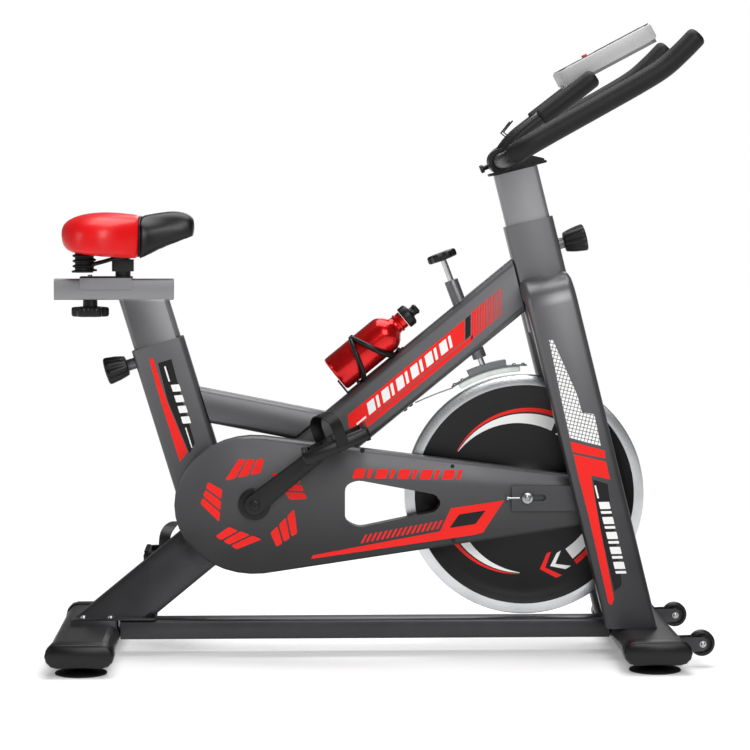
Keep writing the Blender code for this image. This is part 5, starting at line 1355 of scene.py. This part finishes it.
@dataclass
class Bottle:
    """The lacquered bottle, its cap with a spout, and the hoop's strap."""

    start: float = -0.0315
    lift: float = 0.0775
    radius: float = 0.0315

    def build(self) -> None:
        """Makes the bottle and its cap."""
        x, z = along_beam(0.0, self.lift)
        matrix = frame_at(Vector((x, 0, z)), along(BEAM_TURN), upright(BEAM_TURN))
        r, s = self.radius, self.start
        profile = [(0, s), (r - 0.005, s), (r - 0.002, s + 0.001), (r - 0.0004, s + 0.003), (r, s + 0.006),
                   (r, s + 0.104), (r - 0.0007, s + 0.109), (r - 0.0028, s + 0.115), (r - 0.0066, s + 0.1205),
                   (r - 0.012, s + 0.125), (0.0165, s + 0.1275), (0.015, s + 0.13), (0.0146, s + 0.133),
                   (0.0162, s + 0.1345), (0.0162, s + 0.1375), (0.0146, s + 0.139), (0.0146, s + 0.147),
                   (0, s + 0.147)]
        publish("bottle_shell", turned(matrix, profile, 72), RED_LACQUER, "bottle_body", smooth=45,
                replaces=("bottle",))
        c = s + 0.1478
        cap = [(0, c), (0.018, c), (0.019, c + 0.0012), (0.019, c + 0.0105), (0.0182, c + 0.0128),
               (0.015, c + 0.0148), (0.009, c + 0.0158), (0.008, c + 0.0172), (0.008, c + 0.0225),
               (0.009, c + 0.0232), (0.009, c + 0.0262), (0.0066, c + 0.029), (0, c + 0.029)]
        publish("bottle_cap_moulding", turned(matrix, cap, 48), BLACK_NYLON, "bottle_lid",
                replaces=("bottle_cap",))
        self.cage(matrix)

    def cage(self, matrix: Matrix) -> None:
        """Makes the two bent arms on each side of the bottle, its back strip and its toe.

        Args:
            matrix: The bottle's frame, local Z along its axis.
        """
        bm = bmesh.new()
        reach, steps = self.radius + 0.0054, 18
        for _, side in SIDES:
            for start, end in ((-0.01, 0.027), (0.078, 0.029)):
                points, radii = [], []
                for i in range(steps + 1):
                    t = i / steps
                    turn = math.radians(200 - 168 * t)
                    points.append(matrix @ Vector((reach * math.cos(turn), side * reach * math.sin(turn),
                                                   start + (end - start) * t ** 0.85)))
                    radii.append(0.0034 + 0.0012 * math.sin(math.pi * t))
                join(bm, tube(points, radii, 14))
        back = bmesh.new()
        slab(back, [(-0.0385, 0.0), (-0.035, 0.0), (-0.035, 0.118), (-0.0385, 0.118)], -0.0075, 0.015)
        slab(back, [(-0.0385, -0.003), (-0.01, -0.003), (-0.01, 0.0), (-0.0385, 0.0)], -0.006, 0.012)
        bmesh.ops.translate(back, verts=back.verts, vec=(0, 0, self.start - 0.0012))
        back.transform(matrix)
        join(bm, back)
        bmesh.ops.recalc_face_normals(bm, faces=bm.faces)
        publish("bottle_cage_arms", bm, BLACK_NYLON, "frame", replaces=("bottle_cage",),
                bevel_mm=0.4)


@dataclass
class PedalTrim:
    """Toe straps, and the raised treads of both pedals."""

    length: float = 0.17
    angle: float = math.radians(38.5)

    def build(self) -> None:
        """Makes the straps and treads of both pedals."""
        for word, side, tilt in (("right", NEAR, math.radians(23)), ("left", FAR, math.radians(2))):
            turn = self.angle + (0 if side == NEAR else math.pi)
            matrix = frame_at(CRANK_CENTRE + along(turn) * self.length, ACROSS * side, along(tilt))
            up = 1 if side == NEAR else -1
            self.strap(f"toe_strap_{word}", matrix, up, f"{word}_pedal")
            self.treads(f"pedal_treads_{word}", matrix, up, f"{word}_pedal")

    def strap(self, node: str, matrix: Matrix, up: int, body: str) -> None:
        """Makes one toe strap.

        Args:
            node: The CAD node it stands for.
            matrix: The pedal's frame, local Z along its axle.
            up: The sign of local Y on its upper side.
            body: The body it rides on.
        """
        inner, outer = 0.0832, 0.1868
        stops = [(-0.02, -0.004, inner), (-0.021, 0.02, inner + 0.001), (-0.018, 0.04, inner + 0.012),
                 (-0.008, 0.052, 0.117), (0.003, 0.052, 0.153), (0.012, 0.04, outer - 0.012),
                 (0.013, 0.02, outer - 0.001), (0.011, -0.004, outer)]
        points = smooth_path(stops, 8)
        bm = bmesh.new()
        edges: Edges = []
        for i, point in enumerate(points):
            ahead = points[min(i + 1, len(points) - 1)] - points[max(i - 1, 0)]
            here = frame_at(point, ahead, ALONG)
            edges, verts = grow(bm, edges) if i else ring(bm, 4, Matrix.Identity(4))
            base = frame_at(points[max(i - 1, 0)], points[max(i, 1)] - points[max(i - 2, 0)], ALONG)
            if i == 0:
                corners = ((1, 1), (-1, 1), (-1, -1), (1, -1))
                for vert, (u, v) in zip(verts, corners):
                    vert.co = here @ Vector((u * 0.0095, v * 0.0012, 0))
            else:
                bmesh.ops.transform(bm, matrix=here @ base.inverted(), verts=verts)
        bmesh.ops.contextual_create(bm, geom=edges)
        for vert in bm.verts:
            vert.co.y *= up
        bmesh.ops.recalc_face_normals(bm, faces=bm.faces)
        bm.transform(matrix)
        publish(f"{node}_webbing", bm, BLACK_NYLON, body, smooth=40, replaces=(node,),
                bevel_mm=0.4)

    def treads(self, name: str, matrix: Matrix, up: int, body: str) -> None:
        """Makes the rows of raised grip blocks on a pedal's edges.

        Args:
            name: The piece's name.
            matrix: The pedal's frame, local Z along its axle.
            up: The sign of local Y on its upper side.
            body: The body it rides on.
        """
        bm = bmesh.new()
        for face in (1, -1):
            for row in (-0.0525, 0.0, 0.0525):
                for i in range(8):
                    part = bmesh.new()
                    bmesh.ops.create_cube(part, size=1.0)
                    bmesh.ops.scale(part, vec=(0.007, 0.0018, 0.0065), verts=part.verts)
                    top = [e for e in part.edges if all(v.co.y * face > 0 for v in e.verts)]
                    bevel(part, top, 0.0006, 2)
                    bmesh.ops.translate(part, verts=part.verts,
                                        vec=(row, face * up * 0.011, 0.0905 + i * 0.0127))
                    join(bm, part)
        bmesh.ops.recalc_face_normals(bm, faces=bm.faces)
        bm.transform(matrix)
        publish(name, bm, BLACK_NYLON, body)


@dataclass
class Studio:
    """Pale glowing table, soft lights and the camera."""

    camera_at: Vector = Vector((-0.157, -4.5, 0.749))
    look: Vector = Vector((0.03318791, 0.9974812, -0.06268828))
    lens: float = 129.84
    air: float = 0.14
    glow: float = 0.24
    fade_from: float = 0.9
    fade_to: float = 2.4

    def build(self) -> None:
        """Sets up the floor, the lights, the world and the camera."""
        self.floor()
        self.world()
        for name, at, towards, size, watts in (
                ("top", (0.1, 0.3, 3.0), (0, 0, 0.4), 2.4, 82.0),
                ("front", (0.9, -3.6, 2.5), (0.1, 0, 0.45), 2.0, 84.0),
                ("left", (-3.2, -1.6, 1.5), (-0.1, 0, 0.5), 1.0, 12.0),
                ("back", (0.5, 3.4, 2.2), (0, 0, 0.5), 1.6, 20.0)):
            self.softbox(f"{name}_softbox", Vector(at), Vector(towards), size, watts)
        data = bpy.data.cameras.new("studio_camera")
        data.lens, data.sensor_width, data.sensor_height = self.lens, 36.0, 36.0
        data.dof.use_dof = False
        camera = bpy.data.objects.new("studio_camera", data)
        camera.location = self.camera_at
        camera.rotation_euler = self.look.to_track_quat("-Z", "Y").to_euler()
        bpy.context.scene.collection.objects.link(camera)
        bpy.context.scene.camera = camera
        bpy.context.scene.view_settings.view_transform = "Standard"

    def floor(self) -> None:
        """Makes the floor, a matt white sheet that glows evenly away from the bike."""
        material = bpy.data.materials.new("backlit_white_sheet")
        material.use_nodes = True
        tree = material.node_tree
        shader = tree.nodes["Principled BSDF"]
        shader.inputs["Roughness"].default_value = 0.85
        shader.inputs["Specular IOR Level"].default_value = 0.1
        place = add_node(tree, "ShaderNodeTexCoord", {}, {}).outputs["Object"]
        away = add_node(tree, "ShaderNodeVectorMath", {"operation": "LENGTH"}, {"Vector": place}).outputs["Value"]
        reach = {"From Min": self.fade_from, "From Max": self.fade_to, "interpolation_type": "SMOOTHSTEP"}
        fade = add_node(tree, "ShaderNodeMapRange", {**reach, "To Min": self.glow}, {"Value": away})
        dim = add_node(tree, "ShaderNodeMapRange", {**reach, "To Min": 0.92, "To Max": 0.0}, {"Value": away})
        grey = add_node(tree, "ShaderNodeCombineColor", {}, {channel: dim.outputs[0] for channel in range(3)})
        tree.links.new(grey.outputs[0], shader.inputs["Base Color"])
        shader.inputs["Emission Color"].default_value = linear("#ffffff")
        tree.links.new(fade.outputs[0], shader.inputs["Emission Strength"])
        bm = bmesh.new()
        bmesh.ops.create_grid(bm, x_segments=2, y_segments=2, size=60.0)
        mesh = bpy.data.meshes.new("studio_floor")
        bm.to_mesh(mesh)
        bm.free()
        mesh.materials.append(material)
        floor = bpy.data.objects.new("studio_floor", mesh)
        bpy.context.scene.collection.objects.link(floor)
        floor.location.z = -0.0002

    def world(self) -> None:
        """Makes the air: white behind the bike, dim for the light it gives."""
        world = bpy.data.worlds.new("studio_air")
        world.use_nodes = True
        tree = world.node_tree
        sight = add_node(tree, "ShaderNodeLightPath", {}, {}).outputs["Is Camera Ray"]
        level = add_node(tree, "ShaderNodeMapRange", {"To Min": self.air, "To Max": 1.0}, {"Value": sight})
        background = tree.nodes["Background"]
        background.inputs["Color"].default_value = linear("#ffffff")
        tree.links.new(level.outputs[0], background.inputs["Strength"])
        bpy.context.scene.world = world

    def softbox(self, name: str, at: Vector, towards: Vector, size: float, watts: float) -> None:
        """Adds one square area light.

        Args:
            name: The light's name.
            at: Where it hangs.
            towards: What it faces.
            size: Side of its square.
            watts: Its power.
        """
        data = bpy.data.lights.new(name, "AREA")
        data.shape, data.size, data.energy = "SQUARE", size, watts
        light = bpy.data.objects.new(name, data)
        light.location = at
        light.rotation_euler = (towards - at).to_track_quat("-Z", "Y").to_euler()
        bpy.context.scene.collection.objects.link(light)


def main() -> None:
    """Builds every sub-assembly in order."""
    logging.basicConfig(level=logging.INFO, format="%(message)s")
    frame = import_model()
    nodes = frame["nodes"]
    CarriedOver().build(nodes, frame["record"])
    Flywheel().build()
    FrameGraphics().build()
    GuardGraphics().build()
    Hardware().build()
    for body, members in frame["record"]["behaviour"]["bodies"].items():
        for node in members:
            if "_foot_" in node:
                Foot().build(node, body)
            if node.startswith("transport_wheel"):
                TransportWheel().build(node, body)
    Knobs().build()
    Brake().build()
    Bars().build()
    ConsoleTrim().build()
    Saddle().build()
    Bottle().build()
    PedalTrim().build()
    Studio().build()


if __name__ == "__main__":
    main()
